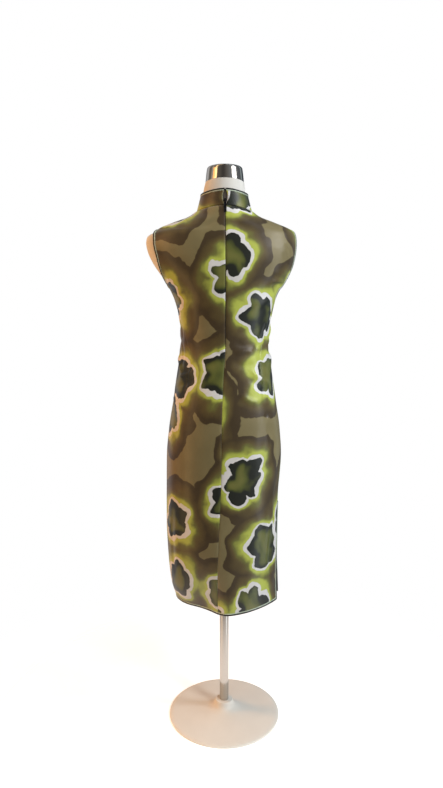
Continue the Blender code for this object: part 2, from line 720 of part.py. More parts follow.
def add_slider(finish):
    frame = slider_frame()
    slider = add_block("zip_slider", frame, SLIDER_SIZE, Vector(), finish)
    ear_y = SLIDER_SIZE.y / 2 - EAR_ROOT + EAR_SIZE.y / 2
    for index, sign in enumerate((-1.0, 1.0)):
        centre = Vector((sign * (SLIDER_SIZE.x - EAR_SIZE.x) / 2, ear_y, PIN_PLACE.z))
        ear = add_block(f"ear_helper_{index}", frame, EAR_SIZE, centre, finish)
        join_to(slider, ear, f"ear_{index}")

    pull_bm = bmesh.new()
    bmesh.ops.create_cone(pull_bm, cap_ends=True, segments=12, radius1=PIN_RADIUS, radius2=PIN_RADIUS,
                          depth=SLIDER_SIZE.x - 2 * EAR_SIZE.x - 2 * SEAM_GAP,
                          matrix=Matrix.Rotation(math.pi / 2, 4, "Y"))
    pull = add_object("zip_pull", pull_bm, finish)
    pull.location = frame @ PIN_PLACE
    pull.rotation_euler = (PULL_TILT, 0.0, 0.0)
    tab_bm = bmesh.new()
    half = PULL_WIDTH / 2
    outline = [(-0.0009, 0.0), (-0.0009, -0.0040), (-half, -0.0070), (-half, 0.0020 - PULL_LENGTH),
               (0.0020 - half, -PULL_LENGTH), (half - 0.0020, -PULL_LENGTH),
               (half, 0.0020 - PULL_LENGTH), (half, -0.0070), (0.0009, -0.0040), (0.0009, 0.0)]
    face = tab_bm.faces.new([tab_bm.verts.new((x, -PULL_WALL / 2, z)) for x, z in outline])
    swept = bmesh.ops.extrude_face_region(tab_bm, geom=[face], use_keep_orig=True)
    for vert in (item for item in swept["geom"] if isinstance(item, bmesh.types.BMVert)):
        vert.co.y += PULL_WALL
    bmesh.ops.recalc_face_normals(tab_bm, faces=tab_bm.faces[:])
    tab = add_object("tab_helper", tab_bm, finish)
    tab.parent = pull
    join_to(pull, tab, "tab")


def leaned(point):
    """A point of the form, lowered towards the front round the neck's slanting top."""
    if point.z > NECK_TOP_Z:
        share = 1 - (point.z - NECK_TOP_Z) / CAP_PROFILE[-1][1]
    else:
        share = max((point.z - NECK_TILT_START_Z) / (NECK_TOP_Z - NECK_TILT_START_Z), 0.0)
    reach = point.y - (COLUMN["back"](NECK_TOP_Z) - FORM_CLEARANCE)
    return Vector((point.x, point.y, point.z + share * reach * math.tan(NECK_TILT)))


def form_heights():
    heights = spread(FORM_BOTTOM_Z, 1.170, 13)
    heights += spread(1.170, 1.330, 8)[1:]
    heights += spread(1.330, 1.400, 10)[1:]
    heights += spread(1.400, NECK_TOP_Z, 5)[1:]
    return heights


def add_form(jersey, chrome, powder_coat):
    """The form is the body surface moved in, closed flat at the hips and at the neck."""
    bm = bmesh.new()
    loops = []
    for z in form_heights():
        loop = []
        for column in range(FORM_COLUMNS):
            degrees = 360.0 * column / FORM_COLUMNS
            place = body(degrees, z) - outward(body, degrees, z) * FORM_CLEARANCE
            if z in (FORM_BOTTOM_Z, NECK_TOP_Z):
                place.z = z
            loop.append(bm.verts.new(leaned(place)))
        loops.append(loop)
    edges = [[bm.edges.new((a, b)) for a, b in zip(loop, loop[1:] + loop[:1])] for loop in loops]
    for lower, upper in zip(edges, edges[1:]):
        bmesh.ops.bridge_loops(bm, edges=lower + upper)
    bm.faces.new(loops[0])
    bm.faces.new(loops[-1])
    bmesh.ops.recalc_face_normals(bm, faces=bm.faces[:])
    add_object("form_torso", bm, jersey)

    neck_y = (COLUMN["back"](NECK_TOP_Z) - COLUMN["front"](NECK_TOP_Z)) / 2
    cap = turned("form_cap", CAP_PROFILE, chrome,
                 Matrix.Translation((CAP_X, neck_y, NECK_TOP_Z)) @ Matrix.Diagonal((1, CAP_DEPTH_RATIO, 1, 1)))
    for vert in cap.data.vertices:
        vert.co = leaned(vert.co)
    base_top = BASE_PROFILE[-1][1]
    pole_length = FORM_BOTTOM_Z - base_top - 2 * SEAM_GAP
    turned("form_pole", [(POLE_RADIUS, 0.0), (POLE_RADIUS, pole_length)], chrome,
           Matrix.Translation((0, 0, base_top + SEAM_GAP)))
    turned("form_base", BASE_PROFILE, powder_coat)


def main():
    clear_scene()
    print_satin = material("printed satin", (0.18, 0.14, 0.06), 0.42)
    binding = material("black-green satin", (0.010, 0.014, 0.010), 0.35)
    piping = material("sage satin", (0.42, 0.50, 0.34), 0.38)
    tape = material("woven polyester tape", (0.020, 0.020, 0.018), 0.75)
    zip_metal = material("blackened brass", (0.05, 0.06, 0.07), 0.35, 1.0)
    jersey = material("cotton jersey", (0.62, 0.56, 0.48), 0.85)
    chrome = material("chromed steel", (0.62, 0.60, 0.57), 0.12, 1.0)
    powder_coat = material("powder-coated steel", (0.70, 0.68, 0.64), 0.55)
    finishes = {"binding": binding, "piping": piping}
    add_form(jersey, chrome, powder_coat)
    add_panels(print_satin)
    add_collar(print_satin, finishes)
    add_edges(finishes)
    add_zip(tape, zip_metal)


main()
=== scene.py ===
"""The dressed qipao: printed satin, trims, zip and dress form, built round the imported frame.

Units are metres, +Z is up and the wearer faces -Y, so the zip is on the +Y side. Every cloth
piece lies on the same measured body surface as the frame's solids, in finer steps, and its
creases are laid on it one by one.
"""
import json
import math
from bisect import bisect_right
from collections import namedtuple
from functools import lru_cache, partial

import bmesh
import bpy
import numpy as np
from bpy.props import FloatProperty, FloatVectorProperty, PointerProperty
from mathutils import Matrix, Vector, noise
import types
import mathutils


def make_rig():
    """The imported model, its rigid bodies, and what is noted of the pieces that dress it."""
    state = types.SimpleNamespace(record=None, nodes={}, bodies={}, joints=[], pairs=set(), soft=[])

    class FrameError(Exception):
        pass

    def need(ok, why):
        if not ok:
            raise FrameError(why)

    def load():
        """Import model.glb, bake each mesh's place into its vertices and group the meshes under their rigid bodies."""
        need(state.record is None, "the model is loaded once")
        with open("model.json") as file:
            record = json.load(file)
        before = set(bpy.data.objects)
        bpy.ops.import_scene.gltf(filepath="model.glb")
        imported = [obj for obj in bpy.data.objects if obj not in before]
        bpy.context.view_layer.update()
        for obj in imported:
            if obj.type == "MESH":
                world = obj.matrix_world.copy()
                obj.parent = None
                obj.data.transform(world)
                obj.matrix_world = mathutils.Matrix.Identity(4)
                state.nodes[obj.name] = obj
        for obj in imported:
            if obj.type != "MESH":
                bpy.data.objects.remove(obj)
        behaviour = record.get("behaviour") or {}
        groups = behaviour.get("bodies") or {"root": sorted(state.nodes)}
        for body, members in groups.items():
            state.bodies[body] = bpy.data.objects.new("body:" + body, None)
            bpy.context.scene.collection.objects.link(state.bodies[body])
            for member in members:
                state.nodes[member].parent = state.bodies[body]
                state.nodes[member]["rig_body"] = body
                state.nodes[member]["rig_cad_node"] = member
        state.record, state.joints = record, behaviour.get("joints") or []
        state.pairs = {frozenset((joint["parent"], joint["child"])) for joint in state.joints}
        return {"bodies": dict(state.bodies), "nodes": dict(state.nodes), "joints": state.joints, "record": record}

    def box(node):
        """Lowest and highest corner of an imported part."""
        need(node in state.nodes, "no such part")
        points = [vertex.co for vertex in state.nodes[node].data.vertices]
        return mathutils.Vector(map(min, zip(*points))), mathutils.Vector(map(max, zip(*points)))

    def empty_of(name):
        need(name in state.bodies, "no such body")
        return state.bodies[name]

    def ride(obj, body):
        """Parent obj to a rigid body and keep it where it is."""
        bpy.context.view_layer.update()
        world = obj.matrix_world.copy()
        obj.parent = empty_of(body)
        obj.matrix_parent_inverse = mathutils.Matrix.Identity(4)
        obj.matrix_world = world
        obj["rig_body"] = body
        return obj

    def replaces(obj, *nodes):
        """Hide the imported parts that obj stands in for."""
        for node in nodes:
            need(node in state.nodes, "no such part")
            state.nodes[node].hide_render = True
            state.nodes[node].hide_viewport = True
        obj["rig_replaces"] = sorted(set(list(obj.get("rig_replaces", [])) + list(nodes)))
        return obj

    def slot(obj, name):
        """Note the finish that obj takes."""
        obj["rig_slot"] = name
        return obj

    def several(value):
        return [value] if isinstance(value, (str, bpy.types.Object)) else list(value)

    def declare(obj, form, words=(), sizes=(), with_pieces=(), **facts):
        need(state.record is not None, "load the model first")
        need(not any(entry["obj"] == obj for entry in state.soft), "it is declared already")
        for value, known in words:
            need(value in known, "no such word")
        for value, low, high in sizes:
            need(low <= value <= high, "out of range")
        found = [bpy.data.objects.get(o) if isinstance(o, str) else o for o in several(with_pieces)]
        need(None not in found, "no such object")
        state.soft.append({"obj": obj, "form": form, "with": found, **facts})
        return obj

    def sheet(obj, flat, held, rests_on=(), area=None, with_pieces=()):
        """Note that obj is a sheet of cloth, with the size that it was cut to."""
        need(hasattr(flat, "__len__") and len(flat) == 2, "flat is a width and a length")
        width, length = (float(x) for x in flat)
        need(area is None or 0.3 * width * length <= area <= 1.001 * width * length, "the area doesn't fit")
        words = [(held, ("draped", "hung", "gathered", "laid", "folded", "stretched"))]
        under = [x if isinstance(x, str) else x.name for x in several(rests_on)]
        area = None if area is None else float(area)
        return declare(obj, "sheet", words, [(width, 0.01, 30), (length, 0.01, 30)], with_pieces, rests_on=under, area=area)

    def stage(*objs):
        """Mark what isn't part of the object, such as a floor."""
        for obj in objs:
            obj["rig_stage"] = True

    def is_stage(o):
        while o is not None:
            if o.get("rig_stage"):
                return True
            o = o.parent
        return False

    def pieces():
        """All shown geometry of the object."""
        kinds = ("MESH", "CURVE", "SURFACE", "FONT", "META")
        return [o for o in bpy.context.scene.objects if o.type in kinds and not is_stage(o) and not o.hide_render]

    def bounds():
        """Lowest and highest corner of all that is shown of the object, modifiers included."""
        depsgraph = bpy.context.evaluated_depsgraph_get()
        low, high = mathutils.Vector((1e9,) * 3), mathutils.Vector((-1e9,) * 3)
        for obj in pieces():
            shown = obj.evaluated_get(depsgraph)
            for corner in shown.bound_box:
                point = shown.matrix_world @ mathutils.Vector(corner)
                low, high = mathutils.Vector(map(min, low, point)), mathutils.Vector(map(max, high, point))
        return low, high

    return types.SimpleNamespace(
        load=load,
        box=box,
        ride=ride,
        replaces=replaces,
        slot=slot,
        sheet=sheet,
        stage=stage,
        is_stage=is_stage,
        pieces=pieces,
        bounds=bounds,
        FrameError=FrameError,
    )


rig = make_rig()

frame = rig.load()
CAD_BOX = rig.bounds()

bl_info = {
    "name": "Qipao on a dress form",
    "version": (1, 0, 0),
    "blender": (4, 5, 0),
    "location": "View3D > Sidebar > Qipao",
    "description": "Builds a sleeveless back-zip qipao with its trims, on a limbless dress form",
    "category": "Add Mesh",
}

GARMENT = "qipao_on_form"
PULL_TAB = "zip_pull_tab"
SIDES = {"left": -1.0, "right": 1.0}      # how the section angle runs from centre back to each
MM = 0.001

# ---------------------------------------------------------------- cloth and trim sizes
CLOTH = 0.0015              # outer face of the panels above the body surface
SEAM_GAP = 0.0003
FORM_CLEARANCE = 0.0030     # jersey of the form to the body surface
BINDING_WIDTH = 0.0040
PIPING_WIDTH = 0.0018
TRIM_WIDTH = BINDING_WIDTH + PIPING_WIDTH + 2 * SEAM_GAP
CLOTH_TUCK = 0.0040         # how far the cloth runs on under its trims

# ---------------------------------------------------------------- heights of the dress
HEM_Z = 0.3405
SLIT_TOP_Z = 0.624
ZIP_END_Z = 1.035
UNDERARM_Z = 1.203
SHOULDER_TIP_Z = 1.342
FRONT_UNDERARM_Z = 1.150
FRONT_TIP_Z = 1.272
BACK_TIP_Z = 1.336
SETTLE_ANGLE = 60.0         # beside an armhole the rows settle over this many degrees
ROW_STEP = 0.010            # the centre's rows keep this far from the slits' top
NECK_HEIGHTS = (1.300, 1.420)     # the neckline lies between these
FORM_BOTTOM_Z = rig.box("form_torso")[0].z
NECK_TOP_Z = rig.box("form_torso")[1].z            # back of the form's neck
NECK_TILT = math.radians(9.0)
NECK_TILT_START_Z = 1.400
CAP_TOP_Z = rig.box("form_cap")[1].z

# Horizontal sections of the inside of the dress, as in the frame. right and left are the
# wearer's; shift is how far the skirt has slid round the hips towards the wearer's left.
Section = namedtuple("Section", "z right left back front power shift")
SECTIONS = [
    Section(0.340, 0.1600, 0.1270, 0.1130, 0.1030, 1.45, 0.0220),
    Section(0.400, 0.1495, 0.1445, 0.1140, 0.1030, 1.75, 0.0215),
    Section(0.470, 0.1440, 0.1520, 0.1145, 0.1030, 2.00, 0.0200),
    Section(0.560, 0.1435, 0.1560, 0.1150, 0.1035, 2.15, 0.0170),
    Section(0.650, 0.1450, 0.1555, 0.1170, 0.1050, 2.25, 0.0130),
    Section(0.760, 0.1515, 0.1535, 0.1190, 0.1070, 2.35, 0.0110),
    Section(0.830, 0.1470, 0.1470, 0.1180, 0.1070, 2.35, 0.0108),
    Section(0.900, 0.1370, 0.1360, 0.1110, 0.1040, 2.30, 0.0090),
    Section(0.970, 0.1262, 0.1252, 0.0990, 0.0990, 2.25, 0.0052),
    Section(1.010, 0.1210, 0.1190, 0.0910, 0.0960, 2.20, 0.0020),
    Section(1.056, 0.1150, 0.1150, 0.0860, 0.0940, 2.15, 0.0000),
    Section(1.090, 0.1180, 0.1155, 0.0870, 0.0950, 2.15, 0.0000),
    Section(1.130, 0.1245, 0.1200, 0.0910, 0.1000, 2.20, 0.0000),
    Section(1.165, 0.1325, 0.1290, 0.0950, 0.1060, 2.20, 0.0000),
    Section(1.185, 0.1400, 0.1370, 0.0970, 0.1085, 2.20, 0.0000),
    Section(1.205, 0.1525, 0.1485, 0.0990, 0.1090, 2.20, 0.0000),
    Section(1.230, 0.1670, 0.1690, 0.1010, 0.1070, 2.20, 0.0000),
    Section(1.260, 0.1795, 0.1892, 0.1010, 0.1020, 2.20, 0.0000),
    Section(1.290, 0.1855, 0.2025, 0.0990, 0.0940, 2.20, 0.0000),
    Section(1.312, 0.1870, 0.2065, 0.0950, 0.0850, 2.15, 0.0000),
    Section(1.327, 0.1855, 0.2040, 0.0915, 0.0780, 2.10, 0.0000),
    Section(1.336, 0.1825, 0.1940, 0.0885, 0.0725, 2.10, 0.0000),
    Section(1.342, 0.1780, 0.1785, 0.0860, 0.0690, 2.05, 0.0000),
    Section(1.350, 0.1640, 0.1650, 0.0825, 0.0655, 2.00, 0.0000),
    Section(1.357, 0.1460, 0.1480, 0.0790, 0.0630, 2.00, 0.0000),
    Section(1.365, 0.1245, 0.1255, 0.0755, 0.0610, 2.00, 0.0000),
    Section(1.3725, 0.1030, 0.1030, 0.0720, 0.0595, 2.00, 0.0000),
    Section(1.380, 0.0875, 0.0875, 0.0690, 0.0580, 2.00, 0.0000),
    Section(1.3875, 0.0775, 0.0775, 0.0665, 0.0570, 2.00, 0.0000),
    Section(1.3945, 0.0692, 0.0692, 0.0640, 0.0560, 2.00, 0.0000),
    Section(1.400, 0.0655, 0.0655, 0.0612, 0.0552, 2.00, 0.0000),
    Section(1.408, 0.0618, 0.0618, 0.0575, 0.0545, 2.00, 0.0000),
    Section(1.420, 0.0598, 0.0600, 0.0535, 0.0538, 2.00, 0.0000),
    Section(1.435, 0.0583, 0.0590, 0.0505, 0.0536, 2.00, 0.0000),
    Section(1.455, 0.0564, 0.0562, 0.0485, 0.0540, 2.00, 0.0000),
    Section(1.470, 0.0550, 0.0528, 0.0470, 0.0545, 2.00, 0.0000),
]
BUST_APEX_X = 0.076
BUST_APEX_Z = 1.188
BUST_RISE = 0.016
BUST_SPREAD_X = 0.044
BUST_SPREAD_Z = 0.050
FALL_X = 0.052
FALL_DEPTH = 0.024
FALL_SPREAD_X = 0.046
FALL_SPREAD_Z = 0.110

# ---------------------------------------------------------------- armholes and slits
Armhole = namedtuple("Armhole", "side back_angle front_angle bottom_power top_power")
ARMHOLES = {
    "left": Armhole(90.0, 31.0, 27.0, 1.7, 4.0),
    "right": Armhole(270.0, 11.0, 27.0, 1.8, 3.0),
}
ARMHOLE_WIDEST_Z = 1.285
SLIT_OPENING = {
    ("back", "left"): 0.0,
    ("back", "right"): -6.0,
    ("front", "left"): -10.0,
    ("front", "right"): 22.0,
}
SLIT_OPENING_POWER = 1.2
HEM_LIFT = {"left": 0.0125, "right": 0.0115}

# ---------------------------------------------------------------- collar, zip and hook
Ring = namedtuple("Ring", "half back front")
NECK_RING = Ring(0.0720, 0.0618, 0.0680)
COLLAR_BASE = Ring(0.0701, 0.0600, 0.0662)
COLLAR_TOP = Ring(0.0588, 0.0512, 0.0590)
COLLAR_RISE = 0.0436
COLLAR_WALL = 0.0016
COLLAR_LIFT = 0.0005
COLLAR_CORNER = 0.016
COLLAR_BACK_GAP = 0.0062
COLLAR_END_GAP = 0.0009     # half the gap at the zip and at the hook
COLLAR_BOW = 1.2            # above 1 the gap is slimmer towards its ends
COLLAR_SPARE = 6            # columns that move over to leave room for the back gap
TAPE_HALF_WIDTH = 0.012
TAPE_WALL = 0.0006
TAPE_LIFT = -0.0014
TAPE_TAIL = 0.012           # how far the tape runs on below the zip's end
GROOVE_HALF = (0.0005, 0.0009, 0.0008)    # at the zip's end, above it, and more beside the slider
GROOVE_OPENS = (0.050, 1.370, 0.020)      # run above the zip's end, then where and over what
COIL_LIFT = 0.0002
COIL_SWING = 0.00028        # how far each turn stands to its own side of the middle
COIL_ENDS = (0.004, 0.002)  # clear of the zip's end and of the neckline
COIL_TURN = (0.00062, 0.00046, 0.00050)
UNDERLAP_SHORT = 0.0018     # how far the underlap stops below the collar's top
SLIDER_HEIGHT = 0.0138
SLIDER_SIZE = Vector((0.0046, 0.0022, 0.0070))
PIN_PLACE = Vector((0.0, 0.0041, -0.0015))
EAR_SIZE = Vector((0.0010, 0.0052, 0.0030))
EAR_SINK = 0.0006           # how far an ear is let into the slider
SLIDER_ROUNDING, EAR_ROUNDING, SHANK_ROUNDING = 0.0007, 0.00035, 0.0003
PIN_RADIUS = 0.0007
PIN_MARGIN = 0.0026         # slider's width less the pin's length
PULL_LENGTH = 0.0330
PULL_TILT = math.radians(16.0)
SHANK_SIZE = Vector((0.0018, 0.0010, 0.0062))
TAB_SIZE = Vector((0.0060, 0.0010, 0.0265))
TAB_CORNER = 0.0015
TAB_RIM = 0.0007            # rim round the recess in the tab's faces
TAB_RECESS = 0.00018
HOOK_DROP = 0.0041          # below the collar's top
HOOK_LIFT = 0.0003          # off the underlap
WIRE_RADIUS = 0.00032
HOOK_BEND = [(-0.0042, 0.0013, 0.0), (-0.0030, 0.0015, 0.0), (-0.0004, 0.0012, 0.0002),
             (0.0012, 0.0008, 0.0010), (0.0012, 0.0, 0.0012), (0.0012, -0.0008, 0.0010),
             (-0.0004, -0.0012, 0.0002), (-0.0030, -0.0015, 0.0), (-0.0042, -0.0013, 0.0)]
EYE_BEND = [(0.0044, 0.0011, 0.0), (0.0030, 0.0014, 0.0), (0.0008, 0.0016, 0.0003),
            (0.0001, 0.0, 0.0005), (0.0008, -0.0016, 0.0003), (0.0030, -0.0014, 0.0),
            (0.0044, -0.0011, 0.0)]

# ---------------------------------------------------------------- the flat cut
# Width and length of the cloth that each piece is cut from, and the area of what shows of it.
PANEL_CUT = {"held": "hung", "rests_on": ["form_jersey_cover"]}
COLLAR_CUT = {"flat": (0.200, 0.045), "area": 0.0081, "held": "stretched"}
CUTS = {
    "back_left_satin": {"flat": (0.265, 1.060), "area": 0.2110, **PANEL_CUT},
    "back_right_satin": {"flat": (0.265, 1.060), "area": 0.2120, **PANEL_CUT},
    "front_satin": {"flat": (0.480, 1.060), "area": 0.4030, **PANEL_CUT},
    "collar_left_satin": {**COLLAR_CUT, "rests_on": ["back_left_satin", "front_satin"]},
    "collar_right_satin": {**COLLAR_CUT, "rests_on": ["back_right_satin", "front_satin"]},
    "zip_tape_twill": {"flat": (0.0240, 0.392), "held": "stretched",
                       "rests_on": ["back_left_satin", "back_right_satin"]},
    "collar_underlap_twill": {"flat": (0.0240, 0.0437), "held": "stretched",
                              "rests_on": ["collar_left_satin", "collar_right_satin"]},
}
# Trims and stitches sewn to each of them.
SEWN_ON = {"back_left_satin": ("armhole_left",), "back_right_satin": ("hem_back", "armhole_right"),
           "front_satin": ("hem_front",), "collar_left_satin": ("collar_left",),
           "collar_right_satin": ("collar_right",)}

# ---------------------------------------------------------------- trims and stitches
# Rolled edges as flattened ovals: inset from the edge, half width, lift off the body, half height.
BINDING_ROLL = (0.0020, 0.00215, 0.0012, 0.00180)
PIPING_ROLL = (0.0054, 0.00128, 0.0012, 0.00125)
SEAM_DIP_WIDTH = 0.0022
NECK_DIP_WIDTH = 0.0030
NECK_DIP_SHARE = 1.6        # the collar's seam pulls in deeper than the others
STITCH_INSET = TRIM_WIDTH + 0.0010
STITCH_LIFT = 0.00002
STITCH_STEP = 1.45          # from one stitch to the next, in stitch lengths
STITCH_HALF = (0.00016, 0.00011)      # half a thread's width and height

# ---------------------------------------------------------------- fineness
PANEL_ROWS = {"skirt": 76, "waist": 150, "armhole": 44, "shoulder": 18}
SEAM_ROWS = slice(PANEL_ROWS["skirt"] + 1, PANEL_ROWS["skirt"] + PANEL_ROWS["waist"] + 1)
FINE_STATIONS = [0.0, 0.004, 0.010, 0.020, 0.040]
PLAIN_STATIONS = (0.07, 0.93, 20)
COLLAR_ROWS = 12
TAPE_ROWS = 110
UNDERLAP_ROWS = 15
COIL_TURNS = 270
EDGE_STEPS = {"slit": 74, "hem": 46, "armhole": 132, "corner": 8, "collar_plain": 40}
ROLL_STEPS = 10
FORM_COLUMNS = 128
FORM_ROWS = [(1.170, 84), (1.330, 36), (1.400, 36), (NECK_TOP_Z, 20)]     # height, rows up to it
TURN_STEPS = 96
HALVINGS = {"height": 30, "angle": 26}
MERGE = 0.000004            # points this close are one
LOOK_AHEAD = 0.0005         # for a line's direction
SHARP_TURNED, SHARP_BLOCK, SHARP_ROLL = 35.0, 40.0, 60.0    # edges over these degrees stay crisp


# ================================================================ small helpers
def monotone_slopes(xs, ys):
    """Slopes of a smooth curve through the points that never overshoots them."""
    secants = [(b - a) / (q - p) for p, q, a, b in zip(xs, xs[1:], ys, ys[1:])]
    slopes = [secants[0]]
    for before, after in zip(secants, secants[1:]):
        slopes.append(0.0 if before * after <= 0 else 2 * before * after / (before + after))
    slopes.append(secants[-1])
    return slopes


class Curve:
    """One column of the section table as a smooth function of z."""

    def __init__(self, xs, ys):
        self.xs = xs
        self.ys = ys
        self.slopes = monotone_slopes(xs, ys)

    def __call__(self, x):
        x = min(max(x, self.xs[0]), self.xs[-1])
        i = min(bisect_right(self.xs, x), len(self.xs) - 1) - 1
        span = self.xs[i + 1] - self.xs[i]
        t = (x - self.xs[i]) / span
        a = (1 + 2 * t) * (1 - t) ** 2 * self.ys[i] + t * t * (3 - 2 * t) * self.ys[i + 1]
        b = t * (1 - t) ** 2 * self.slopes[i] - t * t * (1 - t) * self.slopes[i + 1]
        return a + span * b


HEIGHTS = [row.z for row in SECTIONS]
COLUMN = {name: Curve(HEIGHTS, [getattr(row, name) for row in SECTIONS])
          for name in Section._fields[1:]}


def lerp(a, b, t):
    return a + (b - a) * t


def smooth(t):
    t = min(max(t, 0.0), 1.0)
    return t * t * (3 - 2 * t)


def spread(a, b, count):
    """count + 1 evenly spaced values from a to b."""
    return [lerp(a, b, i / count) for i in range(count + 1)]


def narrowed(low, high, past, halvings):
    """The value between two at which a test turns true."""
    for _ in range(halvings):
        middle = (low + high) / 2
        if past(middle):
            high = middle
        else:
            low = middle
    return low


def superellipse(angle, across, along, power):
    """Plan point at a section angle: 0 is the front, 90 the wearer's left, 180 the back."""
    turn = math.atan2(across * math.sin(angle), along * math.cos(angle))
    reach = (abs(math.sin(turn) / across) ** power
             + abs(math.cos(turn) / along) ** power) ** (-1 / power)
    return reach * math.sin(turn), -reach * math.cos(turn)


def bust(x, z, frontness):
    dx = (abs(x) - BUST_APEX_X) / BUST_SPREAD_X
    dz = (z - BUST_APEX_Z) / BUST_SPREAD_Z
    return BUST_RISE * frontness * math.exp(-dx * dx - dz * dz)


def fall(x, z, backness):
    dx = (x - FALL_X) / FALL_SPREAD_X
    dz = (z - HEM_Z) / FALL_SPREAD_Z
    return FALL_DEPTH * backness * math.exp(-dx * dx - dz * dz)


def reaches(x, y, z):
    """How far a section reaches to the side, and to the front or back, that a point lies on."""
    return COLUMN["left" if x > 0 else "right"](z), COLUMN["front" if y < 0 else "back"](z)


def body(degrees, z):
    """A point on the inside of the dress, at a section angle and a height."""
    angle = math.radians(degrees)
    across, along = reaches(math.sin(angle), -math.cos(angle), z)
    x, y = superellipse(angle, across, along, COLUMN["power"](z))
    sunk = bust(x, z, smooth(2 * math.cos(angle))) + fall(x, z, smooth(-2 * math.cos(angle)))
    return Vector((x, y - sunk, z))


def tangents(surface, u, v, du=0.2, dv=0.0005):
    along_u = (surface(u + du, v) - surface(u - du, v)) / (2 * du)
    along_v = (surface(u, v + dv) - surface(u, v - dv)) / (2 * dv)
    return along_u, along_v


def outward(surface, u, v):
    along_u, along_v = tangents(surface, u, v)
    return along_u.cross(along_v).normalized()


def moved(surface, u, v, direction, distance):
    """The parameters of the surface point that lies a small distance off in a direction."""
    along_u, along_v = tangents(surface, u, v)
    uu, uv, vv = along_u.dot(along_u), along_u.dot(along_v), along_v.dot(along_v)
    pu, pv = along_u.dot(direction) * distance, along_v.dot(direction) * distance
    det = uu * vv - uv * uv
    return u + (pu * vv - pv * uv) / det, v + (pv * uu - pu * uv) / det


def degrees_for(z, degrees, distance, surface=body):
    """The change in section angle that covers a distance round the body."""
    along_u, _ = tangents(surface, degrees, z)
    return distance / along_u.length


# ================================================================ lines on the body
def slid(z, one, other):
    """Degrees that the dress has slid round at a height, at the mean of two reaches."""
    mean = (COLUMN[one](z) + COLUMN[other](z)) / 2
    return math.degrees(COLUMN["shift"](z) / mean)


def centre_back(z):
    return 180.0 - slid(z, "left", "right")


def centre_front(z, side):
    angle = slid(z, "left", "right")
    return angle if side == "left" else 360.0 + angle


def side_line(z, side):
    return ARMHOLES[side].side - slid(z, "front", "back")


def slit_line(z, face, side):
    """Free edge of a skirt panel below the top of its slit."""
    drop = min(max((SLIT_TOP_Z - z) / (SLIT_TOP_Z - HEM_Z), 0.0), 1.0)
    return side_line(z, side) + SLIT_OPENING[face, side] * drop ** SLIT_OPENING_POWER


def hem_height(side, across, inset):
    """Height of the hem, a share of the way from the centre line to a slit."""
    return HEM_Z + HEM_LIFT[side] * across + inset


def inward_sign(face, side):
    """+1 where the section angle grows from the side line towards the panel's middle."""
    return 1.0 if (face, side) in {("back", "left"), ("front", "right")} else -1.0


def inset_angle(line, z, face, side, inset):
    degrees = line(z, face, side)
    return degrees + inward_sign(face, side) * degrees_for(z, degrees, inset)


def seam_angle(z, face, side):
    degrees = side_line(z, side)
    return degrees + inward_sign(face, side) * degrees_for(z, degrees, SEAM_GAP / 2)


def armhole_point(side, turn, inset):
    """Section angle and height on an armhole's oval, a distance outside its edge.

    turn is 0 at the underarm, 90 at the back, 180 at the shoulder and 270 at the front.
    """
    hole = ARMHOLES[side]
    backward = -SIDES[side]

    def edge(degrees):
        angle = math.radians(degrees)
        lower = math.cos(angle) > 0
        power = hole.bottom_power if lower else hole.top_power
        half = abs(ARMHOLE_WIDEST_Z - (UNDERARM_Z if lower else SHOULDER_TIP_Z))
        reach = (abs(math.sin(angle)) ** power + abs(math.cos(angle)) ** power) ** (-1 / power)
        swing = hole.back_angle if math.sin(angle) > 0 else hole.front_angle
        return (hole.side + backward * swing * reach * math.sin(angle),
                ARMHOLE_WIDEST_Z - half * reach * math.cos(angle))

    u, v = edge(turn)
    if inset == 0:
        return u, v
    ahead = body(*edge(turn + 1.0))
    behind = body(*edge(turn - 1.0))
    away = outward(body, u, v).cross((ahead - behind).normalized()) * -backward
    return moved(body, u, v, away, inset)


def height_on_body(x, y):
    """Height at which the body surface passes over a plan point near the neck."""
    def above(z):
        across, along = reaches(x, y, z)
        power = COLUMN["power"](z)
        return abs(x / across) ** power + abs(y / along) ** power > 1

    return narrowed(*NECK_HEIGHTS, above, HALVINGS["height"])


def ring_point(ring, degrees):
    angle = math.radians(degrees)
    along = ring.front if math.cos(angle) > 0 else ring.back
    return ring.half * math.sin(angle), -along * math.cos(angle)


def neckline(degrees):
    """Section angle and height where a panel ends under the collar."""
    x, y = ring_point(NECK_RING, degrees)
    z = height_on_body(x, y)
    across, along = reaches(x, y, z)
    angle = math.degrees(math.atan2(x / across, -y / along))
    return angle % 360.0 if degrees < 359.0 else 360.0 + math.remainder(angle, 360.0), z


@lru_cache(maxsize=None)
def collar_base_z(degrees):
    """Height at which the collar starts, just clear of the neckline."""
    return height_on_body(*ring_point(NECK_RING, degrees)) + COLLAR_LIFT


def collar(degrees, height):
    """A point on the inside of the collar band: section angle, height up the band."""
    rise = height / COLLAR_RISE
    x0, y0 = ring_point(COLLAR_BASE, degrees)
    x1, y1 = ring_point(COLLAR_TOP, degrees)
    return Vector((lerp(x0, x1, rise), lerp(y0, y1, rise), collar_base_z(degrees) + height))


# ================================================================ creases laid one by one
# All in mm. points are (offset, height): the offset is x on the back and front, y on the sides.
# depth is negative in a trough. fades says which ends run out softly.
Crease = namedtuple("Crease", "face points width depth fades", defaults=("both",))
CREASE_SPAN_STEPS = 5
FADE_SHARE = 0.35           # how much of a crease's length an end runs out over
NORMAL_SHARE = 0.35         # how far depth counts when a point's distance to a crease is taken

